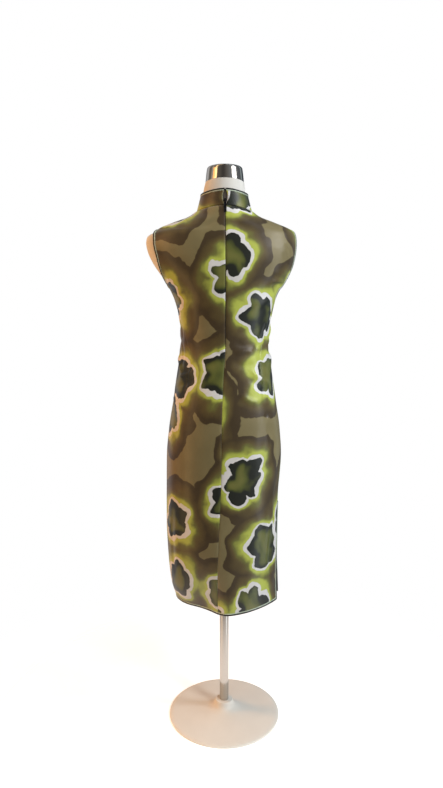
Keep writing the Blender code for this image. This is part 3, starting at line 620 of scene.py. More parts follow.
# Fish-eye darts, each a stitched line from hip to ribs, as (offset, height).
DARTS = {
    ("back", "left"): [(112, 884), (94.5, 974), (89, 1031), (96.5, 1052), (108, 1100)],
    ("back", "right"): [(-104.5, 871), (-90.5, 979), (-87.5, 1014), (-95, 1053), (-117, 1125)],
    ("front", "left"): [(88, 895), (80, 975), (76.5, 1050), (78, 1110)],
    ("front", "right"): [(-85, 890), (-79, 975), (-75.5, 1050), (-77.5, 1115)],
}
DART_LINE = (1.5, -0.75)
DART_HOLLOW = (10.0, -0.9)
DART_ROW_SHARE = 0.36       # where a row's height is taken to find its dart
DART_LIMITS = (0.35, 0.80)

CREASES = {
    "back": [
        # Underarms: short pinched folds that run in from the bottom of each armhole.
        ([(-112, 1232), (-135, 1223), (-154, 1221)], 4.6, -2.3),
        ([(-110, 1194), (-131, 1203), (-148, 1208)], 5.1, -2.3),
        ([(-115, 1213), (-135, 1213), (-152, 1214)], 5.1, 3.4),
        ([(120, 1188), (136, 1195), (151, 1207)], 5.1, -2.3),
        ([(116, 1202), (135, 1209), (150, 1222)], 5.6, 3.3),
        ([(118, 1221), (132, 1227), (146, 1240)], 6.1, -1.4),
        # Beside the right armhole and across the shoulder blades: slack in the satin.
        ([(-150, 1306), (-160, 1292), (-168, 1273)], 5.1, -1.7),
        ([(-141, 1285), (-153, 1271), (-162, 1252)], 5.1, -1.3),
        ([(-148, 1226), (-104, 1186), (-58, 1168)], 13.0, -1.7),
        ([(-138, 1190), (-98, 1158), (-52, 1148)], 10.0, 2.5),
        ([(146, 1214), (102, 1178), (62, 1170)], 13.0, -1.7),
        ([(128, 1168), (92, 1146), (50, 1142)], 10.0, 1.4),
        ([(12, 1372), (36, 1352), (70, 1340)], 9.0, -1.4),
        ([(-14, 1368), (-40, 1345), (-78, 1336)], 9.0, -1.5),
        # The end of the zip pulls the seam up into a small pucker.
        ([(1, 1030), (14, 1029), (34, 1034)], 4.0, -1.2, "end"),
        ([(1, 1037), (12, 1038), (29, 1043)], 4.6, 2.2, "end"),
        ([(-1, 1033), (-12, 1035), (-24, 1042)], 4.2, -1.1, "end"),
        # Waist: shallow cross folds between the seam and the darts.
        ([(14, 1075), (48, 1066), (82, 1074)], 8.0, -1.7),
        ([(22, 1012), (52, 1006), (80, 1016)], 9.0, -1.7),
        ([(-16, 1062), (-46, 1052), (-80, 1064)], 8.0, -1.7),
        ([(-24, 1092), (-58, 1082), (-92, 1097)], 9.0, -1.7),
        ([(-14, 1008), (-48, 998), (-78, 1008)], 9.0, -1.7),
        # Outside the right dart: drag folds from the side seam down to the waist.
        ([(-129, 1160), (-116, 1112), (-101, 1062)], 5.6, -2.3),
        ([(-124, 1118), (-115, 1078), (-107, 1030)], 5.1, 4.2),
        ([(-120, 1090), (-113, 1052), (-109, 1004)], 4.6, -2.3),
        ([(-124, 1048), (-118, 1004), (-112, 958)], 4.6, 3.8),
        ([(-110, 1124), (-97, 1082), (-83, 1046)], 5.0, 3.6),
        ([(-100, 1104), (-86, 1062), (-70, 1026)], 5.0, -2.2),
        # Below the waist: the slack pulls across from the right hip towards the seam.
        ([(-60, 992), (-86, 966), (-118, 950)], 5.4, 3.6),
        ([(-56, 972), (-84, 944), (-116, 930)], 5.4, -2.2),
        ([(-20, 1026), (-50, 1035), (-80, 1030)], 6.0, 3.0),
        ([(-34, 930), (-62, 910), (-96, 906)], 7.0, 2.8),
        ([(121, 1140), (112, 1098), (106, 1052)], 5.6, -2.3),
        ([(113, 1070), (107, 1030), (111, 985)], 5.1, -2.3),
        ([(124, 1052), (117, 1006), (108, 962)], 5.0, 3.8),
        ([(74, 996), (96, 976), (122, 966)], 5.0, 3.2),
        ([(70, 978), (94, 956), (124, 944)], 5.4, -2.2),
        ([(134, 914), (121, 880), (124, 836)], 5.0, 3.4),
        # Dart ends: a dimple under each, with a fan of slack below it.
        ([(112.5, 888), (113, 876)], 4.6, -2.3),
        ([(117, 872), (127, 830), (130, 780)], 9.0, -1.7),
        ([(-104.5, 876), (-106, 862)], 5.1, -2.3),
        ([(-109, 860), (-118, 820), (-123, 770)], 9.0, -1.7),
        ([(-98, 850), (-90, 800), (-86, 740)], 12.0, -1.3),
        ([(-128, 905), (-112, 893), (-94, 899)], 6.1, -2.0),
        # Skirt back: long soft flutes that hang from the hips.
        ([(60, 790), (66, 640), (74, 480), (78, 340)], 24.0, -1.2, "start"),
        ([(-52, 770), (-50, 620), (-38, 470), (-32, 340)], 24.0, -1.1, "start"),
        ([(112, 700), (122, 600), (122, 500), (114, 420)], 13.0, 1.6),
        ([(134, 640), (139, 560), (137, 480), (130, 410)], 8.0, -1.7),
        # Skirt back, right: the edge stands off along a wavering fold that dies out above the hem.
        ([(-140, 712), (-131, 672), (-128.5, 598), (-129, 552), (-119, 508),
          (-117.5, 468), (-120.5, 428), (-119, 400)], 5.6, -2.3),
        ([(-128, 700), (-119, 600), (-108, 500), (-105.5, 420)], 9.0, 2.6),
        ([(-137, 640), (-136.5, 560), (-133, 480), (-132, 410)], 5.6, 2.6),
    ],
    "front": [
        # Front: drag lines from the bust to the side seams, and slack over the waist.
        ([(126, 1150), (112, 1166), (94, 1178)], 5.6, -2.3),
        ([(-127, 1146), (-113, 1163), (-96, 1176)], 5.6, -2.3),
        ([(30, 1176), (0, 1169), (-32, 1177)], 12.0, -1.7),
        ([(52, 1120), (18, 1104), (-20, 1110)], 10.0, -1.7),
        ([(64, 1058), (20, 1047), (-26, 1052), (-62, 1064)], 9.0, -1.7),
        ([(58, 1014), (10, 1004), (-44, 1012)], 10.0, -1.5),
        ([(140, 1216), (118, 1226), (98, 1240)], 6.6, -2.3),
        ([(-142, 1218), (-118, 1230), (-96, 1246)], 6.6, -2.3),
        ([(92, 880), (100, 830), (102, 770)], 10.0, -1.7),
        ([(-88, 876), (-98, 826), (-102, 760)], 10.0, -1.7),
        ([(46, 800), (50, 640), (54, 480), (58, 340)], 24.0, -1.3, "start"),
        ([(-30, 780), (-36, 620), (-44, 470), (-50, 340)], 26.0, -1.2, "start"),
        ([(8, 760), (6, 600), (2, 450), (4, 340)], 20.0, 1.0, "start"),
        ([(-106, 700), (-112, 580), (-106, 450), (-98, 340)], 11.0, -1.7, "start"),
        ([(112, 690), (120, 570), (118, 450), (104, 340)], 11.0, -1.7, "start"),
    ],
    "left": [
        # Sides: the waist seams ride up a little, and the hips smooth them out.
        ([(40, 1068), (4, 1060), (-38, 1070)], 6.6, -2.3),
        ([(36, 1032), (0, 1024), (-34, 1036)], 7.0, -1.9),
        ([(30, 1110), (-2, 1098), (-30, 1112)], 7.0, -1.5),
        ([(16, 940), (0, 880), (-8, 800)], 12.0, -1.4),
    ],
    "right": [
        ([(42, 1078), (0, 1066), (-40, 1076)], 6.6, -2.3),
        ([(34, 1040), (-4, 1030), (-36, 1044)], 7.0, -1.9),
        ([(26, 1124), (-4, 1110), (-34, 1120)], 7.0, -1.7),
        ([(10, 930), (2, 866), (10, 790)], 12.0, -1.4),
    ],
}
UNDULATION = (0.055, 0.00035)     # size and height of the satin's slight unevenness


def smooth_path(points):
    """More points along a smooth curve through the ones given."""
    path = []
    ends = [points[0]] + list(points) + [points[-1]]
    for before, start, end, after in zip(ends, ends[1:], ends[2:], ends[3:]):
        for i in range(CREASE_SPAN_STEPS):
            t = i / CREASE_SPAN_STEPS
            path.append(tuple(
                0.5 * (2 * q + (r - p) * t + (2 * p - 5 * q + 4 * r - s) * t * t
                       + (3 * q - p - 3 * r + s) * t ** 3)
                for p, q, r, s in zip(before, start, end, after)))
    return path + [points[-1]]


def angle_at(face, offset, z):
    """Section angle of the point of a face that shows at an offset."""
    middle = {"front": 0.0, "left": 90.0, "back": 180.0, "right": 270.0}[face]
    axis = 0 if face in ("back", "front") else 1
    rising = 1.0 if face in ("front", "left") else -1.0
    return narrowed(middle - 89.0, middle + 89.0,
                    lambda degrees: (body(degrees, z)[axis] - offset) * rising > 0,
                    HALVINGS["angle"])


def crease_path(crease):
    points = [(offset / 1000, z / 1000) for offset, z in crease.points]
    return np.array([body(angle_at(crease.face, offset, z), z)
                     for offset, z in smooth_path(points)])


@lru_cache(maxsize=None)
def all_creases():
    """Every crease and dart, each with its path on the body."""
    creases = [Crease(face, *row) for face, rows in CREASES.items() for row in rows]
    creases += [Crease(face, points, width, depth) for (face, _), points in DARTS.items()
                for width, depth in (DART_LINE, DART_HOLLOW)]
    return [(crease, crease_path(crease)) for crease in creases]


def fade_in(share):
    t = np.clip(share / FADE_SHARE, 0.0, 1.0)
    return t * t * (3 - 2 * t)


def crease_height(crease, path, places, normals):
    """How far one crease moves each place along its normal."""
    width = crease.width * MM
    nearest = np.full(len(places), np.inf)
    along = np.zeros(len(places))
    steps = np.linalg.norm(np.diff(path, axis=0), axis=1)
    ends = np.concatenate(([0.0], np.cumsum(steps))) / steps.sum()
    for a, b, start, end in zip(path, path[1:], ends, ends[1:]):
        t = np.clip((places - a) @ (b - a) / ((b - a) @ (b - a)), 0.0, 1.0)
        gap = places - a - t[:, None] * (b - a)
        off = (gap * normals).sum(axis=1)
        distance = (gap ** 2).sum(axis=1) - (1 - NORMAL_SHARE ** 2) * off ** 2
        closer = distance < nearest
        nearest = np.where(closer, distance, nearest)
        along = np.where(closer, lerp(start, end, t), along)
    height = crease.depth * MM * np.exp(-nearest / width ** 2)
    if crease.fades in ("both", "start"):
        height *= fade_in(along)
    if crease.fades in ("both", "end"):
        height *= fade_in(1.0 - along)
    return height


def relief(places, normals, strength):
    """Height of all the creases and the slight unevenness over the plain body surface."""
    shape = places.shape[:-1]
    places, normals = places.reshape(-1, 3), normals.reshape(-1, 3)
    size, swing = UNDULATION
    total = np.array([noise.noise(Vector(place) / size) for place in places]) * swing
    for crease, path in all_creases():
        reach = 4 * crease.width * MM
        near = np.all((places > path.min(axis=0) - reach) & (places < path.max(axis=0) + reach),
                      axis=1)
        if near.any():
            total[near] += crease_height(crease, path, places[near], normals[near])
    return (total * strength).reshape(shape)


# ================================================================ grids of the panels
# How a row's height settles from the centre line's to its edge's: evenly on the skirt, late along
# the side seam, and before it comes to the oval beside an armhole.
SETTLES = {
    "skirt": lambda across, swing: across,
    "seam": lambda across, swing: across * across,
    "armhole": lambda across, swing: smooth(swing / SETTLE_ANGLE),
}
PanelRow = namedtuple("PanelRow", "edge_angle edge_z centre_z settles")


def panel_rows(face, side):
    """Rows of a half panel, hem to shoulder tip."""
    slit_end = SLIT_TOP_Z + SEAM_GAP
    count = PANEL_ROWS["skirt"]
    edge_heights = spread(hem_height(side, 1.0, CLOTH_TUCK), slit_end, count)
    centre_heights = spread(hem_height(side, 0.0, CLOTH_TUCK), SLIT_TOP_Z - ROW_STEP, count)
    rows = []
    for edge_z, centre_z in zip(edge_heights, centre_heights):
        edge_angle = inset_angle(slit_line, edge_z, face, side, CLOTH_TUCK)
        rows.append(PanelRow(edge_angle, edge_z, centre_z, "skirt"))

    underarm_z = armhole_point(side, 0.0, CLOTH_TUCK)[1]
    middle_z = underarm_z if face == "back" else FRONT_UNDERARM_Z
    count = PANEL_ROWS["waist"]
    for edge_z, centre_z in zip(spread(slit_end + SEAM_GAP, underarm_z, count),
                                spread(SLIT_TOP_Z + ROW_STEP, middle_z, count)):
        rows.append(PanelRow(seam_angle(edge_z, face, side), edge_z, centre_z, "seam"))

    tip_centre_z = BACK_TIP_Z if face == "back" else FRONT_TIP_Z
    count = PANEL_ROWS["armhole"]
    centre_heights = spread(middle_z, tip_centre_z, count)
    for i in range(1, count + 1):
        turn = 180.0 * i / count
        degrees, edge_z = armhole_point(side, turn if face == "back" else 360.0 - turn, CLOTH_TUCK)
        if i == count:
            degrees = seam_angle(edge_z, face, side)
        rows.append(PanelRow(degrees, edge_z, centre_heights[i], "armhole"))
    return rows


def dart_share(face, side, row, centre_line):
    """How far from the centre line to the side the dart lies on a row."""
    z = lerp(row.centre_z, row.edge_z, DART_ROW_SHARE)
    offsets, heights = zip(*DARTS[face, side])
    offset = float(np.interp(z, np.array(heights) / 1000, np.array(offsets) / 1000))
    reach = row.edge_angle - centre_line(z)
    degrees = angle_at(face, offset, z)
    if face == "front" and side == "right":
        degrees += 360.0
    return min(max((degrees - centre_line(z)) / reach, DART_LIMITS[0]), DART_LIMITS[1])


def stations(middle):
    """Shares across a half panel, closer together at both edges and along the dart."""
    half = (FINE_STATIONS + spread(*PLAIN_STATIONS)
            + [1.0 - share for share in reversed(FINE_STATIONS)])
    return ([lerp(0.0, middle, share) for share in half]
            + [lerp(middle, 1.0, share) for share in half[1:]])


def half_panel(face, side, centre_line):
    """Grid of (angle, z) from the centre line out to the side, hem row first."""
    grid = []
    for panel_row in panel_rows(face, side):
        edge_angle, edge_z, centre_z, settles = panel_row
        row = []
        for across in stations(dart_share(face, side, panel_row, centre_line)):
            swing = abs(edge_angle - centre_line(centre_z)) * across
            z = lerp(centre_z, edge_z, SETTLES[settles](across, swing))
            row.append((lerp(centre_line(z), edge_angle, across), z))
        grid.append(row)

    # Above the shoulder tip the rows close up on the neckline.
    tip_row = grid[-1]
    centre_angle = {"back": 180.0, "front": 0.0 if side == "left" else 360.0}[face]
    side_angle = ARMHOLES[side].side
    neck_row = []
    for across in stations(0.5):
        degrees, z = neckline(lerp(centre_angle, side_angle, across))
        if across == 0.0:
            degrees = centre_line(z)
        if across == 1.0:
            degrees = seam_angle(z, face, side)
        neck_row.append((degrees, z))
    count = PANEL_ROWS["shoulder"]
    for rise in spread(0.0, 1.0, count)[1:]:
        row = []
        for (low_angle, low_z), (high_angle, high_z) in zip(tip_row, neck_row):
            row.append((lerp(low_angle, high_angle, rise), lerp(low_z, high_z, rise)))
        edge_z = row[-1][1]
        row[-1] = (seam_angle(edge_z, face, side), edge_z)
        row[0] = (centre_line(row[0][1]), row[0][1])
        grid.append(row)
    return grid


def zip_half_gap(z):
    """Half the gap between the two backs: a closed seam, then the zip's narrow groove."""
    if z < ZIP_END_Z:
        return SEAM_GAP / 2
    at_end, above, more = GROOVE_HALF
    run, slider_z, slider_run = GROOVE_OPENS
    return (lerp(at_end, above, smooth((z - ZIP_END_Z) / run))
            + more * smooth((z - slider_z) / slider_run))


def back_panel(side):
    """A back's grid, from its lower section angle to its higher one."""
    def centre_edge(z):
        degrees = centre_back(z)
        return degrees + SIDES[side] * degrees_for(z, degrees, zip_half_gap(z))

    grid = half_panel("back", side, centre_edge)
    return [row[::-1] for row in grid] if side == "left" else grid


def front_panel():
    left = half_panel("front", "left", lambda z: centre_front(z, "left"))
    right = half_panel("front", "right", lambda z: centre_front(z, "right"))
    return [right_row[:0:-1] + [(degrees + 360.0, z) for degrees, z in left_row]
            for left_row, right_row in zip(left, right)]


# ================================================================ lines along the edges
def skirt_edge(face, inset):
    """Points round a skirt panel's free edge: down the left slit, along the hem, up the right."""
    slits = {}
    for side in ("left", "right"):
        heights = spread(hem_height(side, 1.0, inset), SLIT_TOP_Z, EDGE_STEPS["slit"])
        slits[side] = [(inset_angle(slit_line, z, face, side, inset), z) for z in heights]
    if face == "front":
        slits["left"] = [(degrees + 360.0, z) for degrees, z in slits["left"]]
    lowest = hem_height("left", 0.0, inset)
    centre = centre_back(lowest) if face == "back" else centre_front(lowest, "right")
    halves = {}
    for side in ("left", "right"):
        corner = slits[side][0][0]
        halves[side] = [(lerp(centre, corner, across), hem_height(side, across, inset))
                        for across in spread(0.0, 1.0, EDGE_STEPS["hem"])]
    return (slits["left"][::-1] + halves["left"][-2::-1]
            + halves["right"][1:-1] + slits["right"])


def armhole_ring(side, inset):
    steps = EDGE_STEPS["armhole"]
    return [armhole_point(side, 360.0 * i / steps, inset) for i in range(steps + 1)]


def collar_degrees(height, degrees, distance):
    return degrees_for(height, degrees, distance, collar)


def collar_columns(side, inset):
    """(angle, top height) of each column of a collar half, centre back to centre front."""
    sign = SIDES[side]
    front_angle = 180.0 + sign * 180.0
    radius = COLLAR_CORNER - inset
    corner = []
    for alpha in spread(0.0, math.pi / 2, EDGE_STEPS["corner"]):
        across = COLLAR_CORNER - radius * math.cos(alpha) + SEAM_GAP
        top = COLLAR_RISE - COLLAR_CORNER + radius * math.sin(alpha)
        corner.append((front_angle - sign * collar_degrees(top, front_angle, across), top))
    corner.reverse()
    plain = [(degrees, COLLAR_RISE - inset)
             for degrees in spread(180.0, corner[0][0], EDGE_STEPS["collar_plain"])[:-1]]
    return plain + corner


def collar_back_edge(side, height):
    """The two ends of the collar bow apart between the hook and the zip."""
    share = min(max(height / COLLAR_RISE, 0.0), 1.0)
    bow = math.sin(math.pi * share) ** COLLAR_BOW
    half_gap = COLLAR_END_GAP + (COLLAR_BACK_GAP - COLLAR_END_GAP) * bow
    return 180.0 + SIDES[side] * collar_degrees(height, 180.0, half_gap)


def settled_columns(side, columns):
    """Collar columns with the first few moved over to leave room for the back gap."""
    def angle(index, height):
        if index >= COLLAR_SPARE:
            return columns[index][0]
        return lerp(collar_back_edge(side, height), columns[COLLAR_SPARE][0],
                    index / COLLAR_SPARE)

    return angle


def collar_band(side):
    columns = collar_columns(side, CLOTH_TUCK)
    angle = settled_columns(side, columns)
    grid = []
    for share in spread(0.0, 1.0, COLLAR_ROWS):
        grid.append([(angle(index, top * share), top * share)
                     for index, (_, top) in enumerate(columns)])
    return [row[::-1] for row in grid] if side == "left" else grid


def collar_edge(side, inset):
    """Points along the collar's free edge: centre back, top, front corner, down to the seam."""
    columns = collar_columns(side, inset)
    angle = settled_columns(side, columns)
    points = [(angle(index, top), top) for index, (_, top) in enumerate(columns)]
    last_angle, last_height = points[-1]
    return points + [(last_angle, height) for height in spread(last_height, 0.0, COLLAR_ROWS)[1:]]


# ================================================================ mesh building
def unit(vectors):
    return vectors / np.linalg.norm(vectors, axis=-1, keepdims=True)


def surface_points(surface, params):
    return np.array([[surface(u, v)[:] for u, v in row] for row in params])


def grid_normals(points):
    """Outward normals of a grid whose section angle grows along its rows."""
    return unit(np.cross(np.gradient(points, axis=1), np.gradient(points, axis=0)))


def flat_lengths(points, centre_column):
    """Each point's place on the flat cloth: along its row, and up its column."""
    along = np.zeros(points.shape[:2])
    along[:, 1:] = np.cumsum(np.linalg.norm(np.diff(points, axis=1), axis=2), axis=1)
    along -= along[:, centre_column:centre_column + 1]
    rows = unit(np.gradient(points, axis=1))[1:]
    steps = np.diff(points, axis=0)
    steps = steps - (steps * rows).sum(axis=2, keepdims=True) * rows
    up = np.zeros(points.shape[:2])
    up[1:] = np.cumsum(np.linalg.norm(steps, axis=2), axis=0)
    return np.stack((along, up + points[:1, :, 2]), axis=2)


def grid_mesh(points, flat=None):
    """A bmesh of a grid of points, with their places on the flat cloth as its UV map."""
    rows, columns = points.shape[:2]
    bm = bmesh.new()
    bmesh.ops.create_grid(bm, x_segments=columns - 1, y_segments=rows - 1, size=1.0)
    uv_layer = bm.loops.layers.uv.new("flat_cloth") if flat is not None else None
    places = {}
    for vert in bm.verts:
        places[vert] = (round((vert.co.y + 1) / 2 * (rows - 1)),
                        round((vert.co.x + 1) / 2 * (columns - 1)))
        vert.co = points[places[vert]]
    if flat is not None:
        for face in bm.faces:
            for loop in face.loops:
                loop[uv_layer].uv = flat[places[loop.vert]]
    return bm


def closed_up(bm):
    """The same bmesh with meeting ends joined, open rims filled and its faces turned outwards."""
    bmesh.ops.remove_doubles(bm, verts=bm.verts[:], dist=MERGE)
    rims = [edge for edge in bm.edges if edge.is_boundary]
    bmesh.ops.holes_fill(bm, edges=rims, sides=0)
    bmesh.ops.recalc_face_normals(bm, faces=bm.faces[:])
    return bm


def add_object(name, bm, finish, sharp=SHARP_BLOCK):
    mesh = bpy.data.meshes.new(name)
    bm.to_mesh(mesh)
    bm.free()
    mesh.shade_smooth()
    if sharp:
        mesh.set_sharp_from_angle(angle=math.radians(sharp))
    mesh.materials.append(finish)
    thing = bpy.data.objects.new(name, mesh)
    bpy.context.scene.collection.objects.link(thing)
    return thing


def dress(thing, slot, *nodes, rides_on=GARMENT):
    """Fixes a finished piece to its body, its material slot and the nodes that it stands for."""
    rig.ride(thing, rides_on)
    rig.slot(thing, slot)
    if nodes:
        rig.replaces(thing, *nodes)


def add_cloth(name, points, flat, finish, thickness):
    """A thin shell of cloth whose outer face is the grid."""
    cloth = add_object(name, grid_mesh(points, flat), finish, sharp=0.0)
    wall = cloth.modifiers.new("cloth thickness", "SOLIDIFY")
    wall.thickness = thickness
    wall.offset = -1.0
    return cloth


def dip(distance, width, depth):
    """A trough where a seam pulls the cloth in, at each point's distance from the seam."""
    return depth * np.exp(-(distance / width) ** 2)


def laid_line(surface, params, lifts, strength):
    """Points of a grid that stand off a surface by a lift for each column, creases included."""
    points = surface_points(surface, params)
    middle = len(params[0]) // 2
    line = [row[middle] for row in params]
    normals = np.array([outward(surface, u, v)[:] for u, v in line])[:, None, :]
    normals = np.repeat(normals, points.shape[1], axis=1)
    height = np.array(lifts)[None, :] + np.zeros(points.shape[:2])
    if surface is body:
        height = height + relief(points, normals, strength)
    return points + normals * height[:, :, None], normals


def roll_profile(inset, half_width, lift, half_height):
    """Insets and lifts round a rolled edge's oval section, closed on itself."""
    turns = [math.tau * i / ROLL_STEPS for i in range(ROLL_STEPS + 1)]
    return ([inset - half_width * math.cos(turn) for turn in turns],
            [lift + half_height * math.sin(turn) for turn in turns])


def add_roll(name, surface, line, profile, finish, strength):
    """A rolled binding or piping along an edge. line(inset) gives the edge's points."""
    insets, lifts = profile
    lines = {round(inset, 7): line(inset) for inset in insets}
    params = list(zip(*[lines[round(inset, 7)] for inset in insets]))
    points, _ = laid_line(surface, params, lifts, strength)
    return add_object(name, closed_up(grid_mesh(points)), finish, SHARP_ROLL)


def evenly(points, normals, spacing):
    """Places, directions and normals at even steps along a line of points."""
    lengths = np.linalg.norm(np.diff(points, axis=0), axis=1)
    travelled = np.concatenate(([0.0], np.cumsum(lengths)))

    def at(distance, values):
        return Vector([float(np.interp(distance, travelled, values[:, axis]))
                       for axis in range(3)])

    count = int(travelled[-1] / spacing)
    for distance in np.linspace(0.0, travelled[-1], count, endpoint=False) + spacing / 2:
        place = at(distance, points)
        ahead = at(distance + LOOK_AHEAD, points) - place
        if ahead.length > 0:
            yield place, ahead.normalized(), at(distance, normals).normalized()


def upright_frame(place, along, normal):
    """Axes at a place: X along a line, Z off the surface."""
    across = normal.cross(along).normalized()
    frame_matrix = Matrix((along, across, along.cross(across))).transposed().to_4x4()
    frame_matrix.translation = place
    return frame_matrix


def add_beads(name, places, size, finish):
    """Many small rounded shapes, such as stitches or coil turns, as one piece."""
    bm = bmesh.new()
    for place in places:
        bmesh.ops.create_uvsphere(bm, u_segments=6, v_segments=4, radius=1.0,
                                  matrix=place @ Matrix.Diagonal((*size, 1.0)))
    return add_object(name, bm, finish, sharp=0.0)


def turned(name, profile, finish, place=Matrix.Identity(4)):
    """A closed solid turned from radius and height pairs round the Z axis of its place."""
    bm = bmesh.new()
    outline = [(0.0, profile[0][1])] + profile + [(0.0, profile[-1][1])]
    verts = [bm.verts.new((radius, 0.0, height)) for radius, height in outline]
    edges = [bm.edges.new(pair) for pair in zip(verts, verts[1:])]
    bmesh.ops.spin(bm, geom=verts + edges, axis=(0, 0, 1), cent=(0, 0, 0),
                   angle=math.tau, steps=TURN_STEPS, use_merge=True)
    bmesh.ops.remove_doubles(bm, verts=bm.verts[:], dist=MERGE)
    bmesh.ops.transform(bm, verts=bm.verts[:], matrix=place)
    bmesh.ops.recalc_face_normals(bm, faces=bm.faces[:])
    return add_object(name, bm, finish, SHARP_TURNED)


def arc(centre, radius, start, end, count):
    """Points of a profile's round corner, angles in degrees."""
    return [(centre[0] + radius * math.cos(math.radians(turn)),
             centre[1] + radius * math.sin(math.radians(turn)))
            for turn in spread(start, end, count)]


# ================================================================ materials
WAVE_TURN = math.tau / 20   # a wave texture at scale 1 repeats after this distance


def linear(code):
    """An sRGB hex colour as linear values."""
    values = [int(code[i:i + 2], 16) / 255 for i in (1, 3, 5)]
    return tuple(v / 12.92 if v <= 0.04045 else ((v + 0.055) / 1.055) ** 2.4 for v in values)


def new_material(name):
    made = bpy.data.materials.new(name)
    made.use_nodes = True
    return made, made.node_tree, made.node_tree.nodes["Principled BSDF"]


def feed(tree, node, **inputs):
    """Sets a node's inputs, or links them from sockets or from the first output of nodes."""
    for name, value in inputs.items():
        socket = node.inputs[int(name[1:]) if name[0] == "_" else name.replace("_", " ")]
        if isinstance(value, bpy.types.Node):
            value = value.outputs[0]
        if isinstance(value, bpy.types.NodeSocket):
            tree.links.new(value, socket)
        else:
            socket.default_value = value


def add_node(tree, kind, **values):
    """One node. Values in small letters are its settings, the others its inputs."""
    node = tree.nodes.new(f"ShaderNode{kind}")
    inputs = {}
    for name, value in values.items():
        if name == "stops":
            set_ramp(node.color_ramp, value)
        elif name[0].islower():
            setattr(node, name, value)
        else:
            inputs[name] = value
    feed(tree, node, **inputs)
    return node


def set_ramp(ramp, stops):
    """Stops are (position, linear colour)."""
    while len(ramp.elements) > 1:
        ramp.elements.remove(ramp.elements[-1])
    ramp.elements[0].position, ramp.elements[0].color = stops[0][0], (*stops[0][1], 1.0)
    for position, colour in stops[1:]:
        ramp.elements.new(position).color = (*colour, 1.0)


def shaded(tree, pattern, colour, *stops):
    """A colour that varies with a pattern. Stops are (position, share of the colour)."""
    return add_node(tree, "ValToRGB", Fac=pattern,
                    stops=[(position, tuple(min(share * v, 1.0) for v in colour))
                           for position, share in stops])


def relief_bump(tree, shader, *heights):
    """Chains height patterns into the shader's normal, each with its depth in mm."""
    chain = {}
    for height, depth in heights:
        chain["Normal"] = add_node(tree, "Bump", Height=height, Distance=depth * MM, Strength=1.0,
                                   **chain)
    feed(tree, shader, **chain)


def satin_relief(tree, shader, coordinates):
    """Satin's long warp floats, drawn at 0.6 x 3 mm because real ones are too fine to show,
    over the faint pulls that a pressed satin keeps, about 12 mm apart."""
    stretched = add_node(tree, "Mapping", Vector=coordinates,
                         Scale=(1 / (0.6 * MM), 1 / (3.0 * MM), 1 / (0.6 * MM)))
    floats = add_node(tree, "TexNoise", Vector=stretched, Scale=1.0, Detail=1.0)
    pulls = add_node(tree, "TexNoise", Vector=coordinates, Scale=1 / (12 * MM), Detail=2.0)
    relief_bump(tree, shader, (pulls, 0.25), (floats, 0.02))


# Where each edge of the print's rings lies, as a share of the repeat from a blossom's centre.
PRINT_RINGS = {"core": 0.258, "rim": 0.310, "halo": 0.342, "glow": 0.402, "shade": 0.455,
               "dark": 0.545, "ground": 0.600}
RING_EDGE = 0.004
RING_WAVER = 0.018          # how far the rings' outlines waver
RIM_WAVER = 0.024           # how far the rim's inner edge wavers beside that
HALO_BLEED = 0.052          # how far the halo runs out into the ground, or falls short
PETALS = 5.0
PETAL_DEPTH = 0.072
PETAL_MIDDLE = 0.64         # mean of the petals' rounded outline
PETALS_START = (0.06, 0.20)       # the petals grow in and fade out between these distances
PETALS_END = (0.32, 0.46)
BLOSSOM_SCATTER = 0.62      # 0 sets the blossoms in a square grid
PRINT_WARP = 0.26
INK_DEPTH = (0.93, 1.07)    # how unevenly the inks soaked in

# Where each piece was cut from the printed length: its shift and turn on the print.
PRINT_CUTS = {
    "back_left": ((0.37, 0.11), 4.0),
    "back_right": ((2.61, 1.48), -3.0),
    "front": ((5.20, 3.35), 2.0),
    "collar_left": ((7.64, 4.21), 0.0),
    "collar_right": ((9.13, 6.02), 0.0),
}


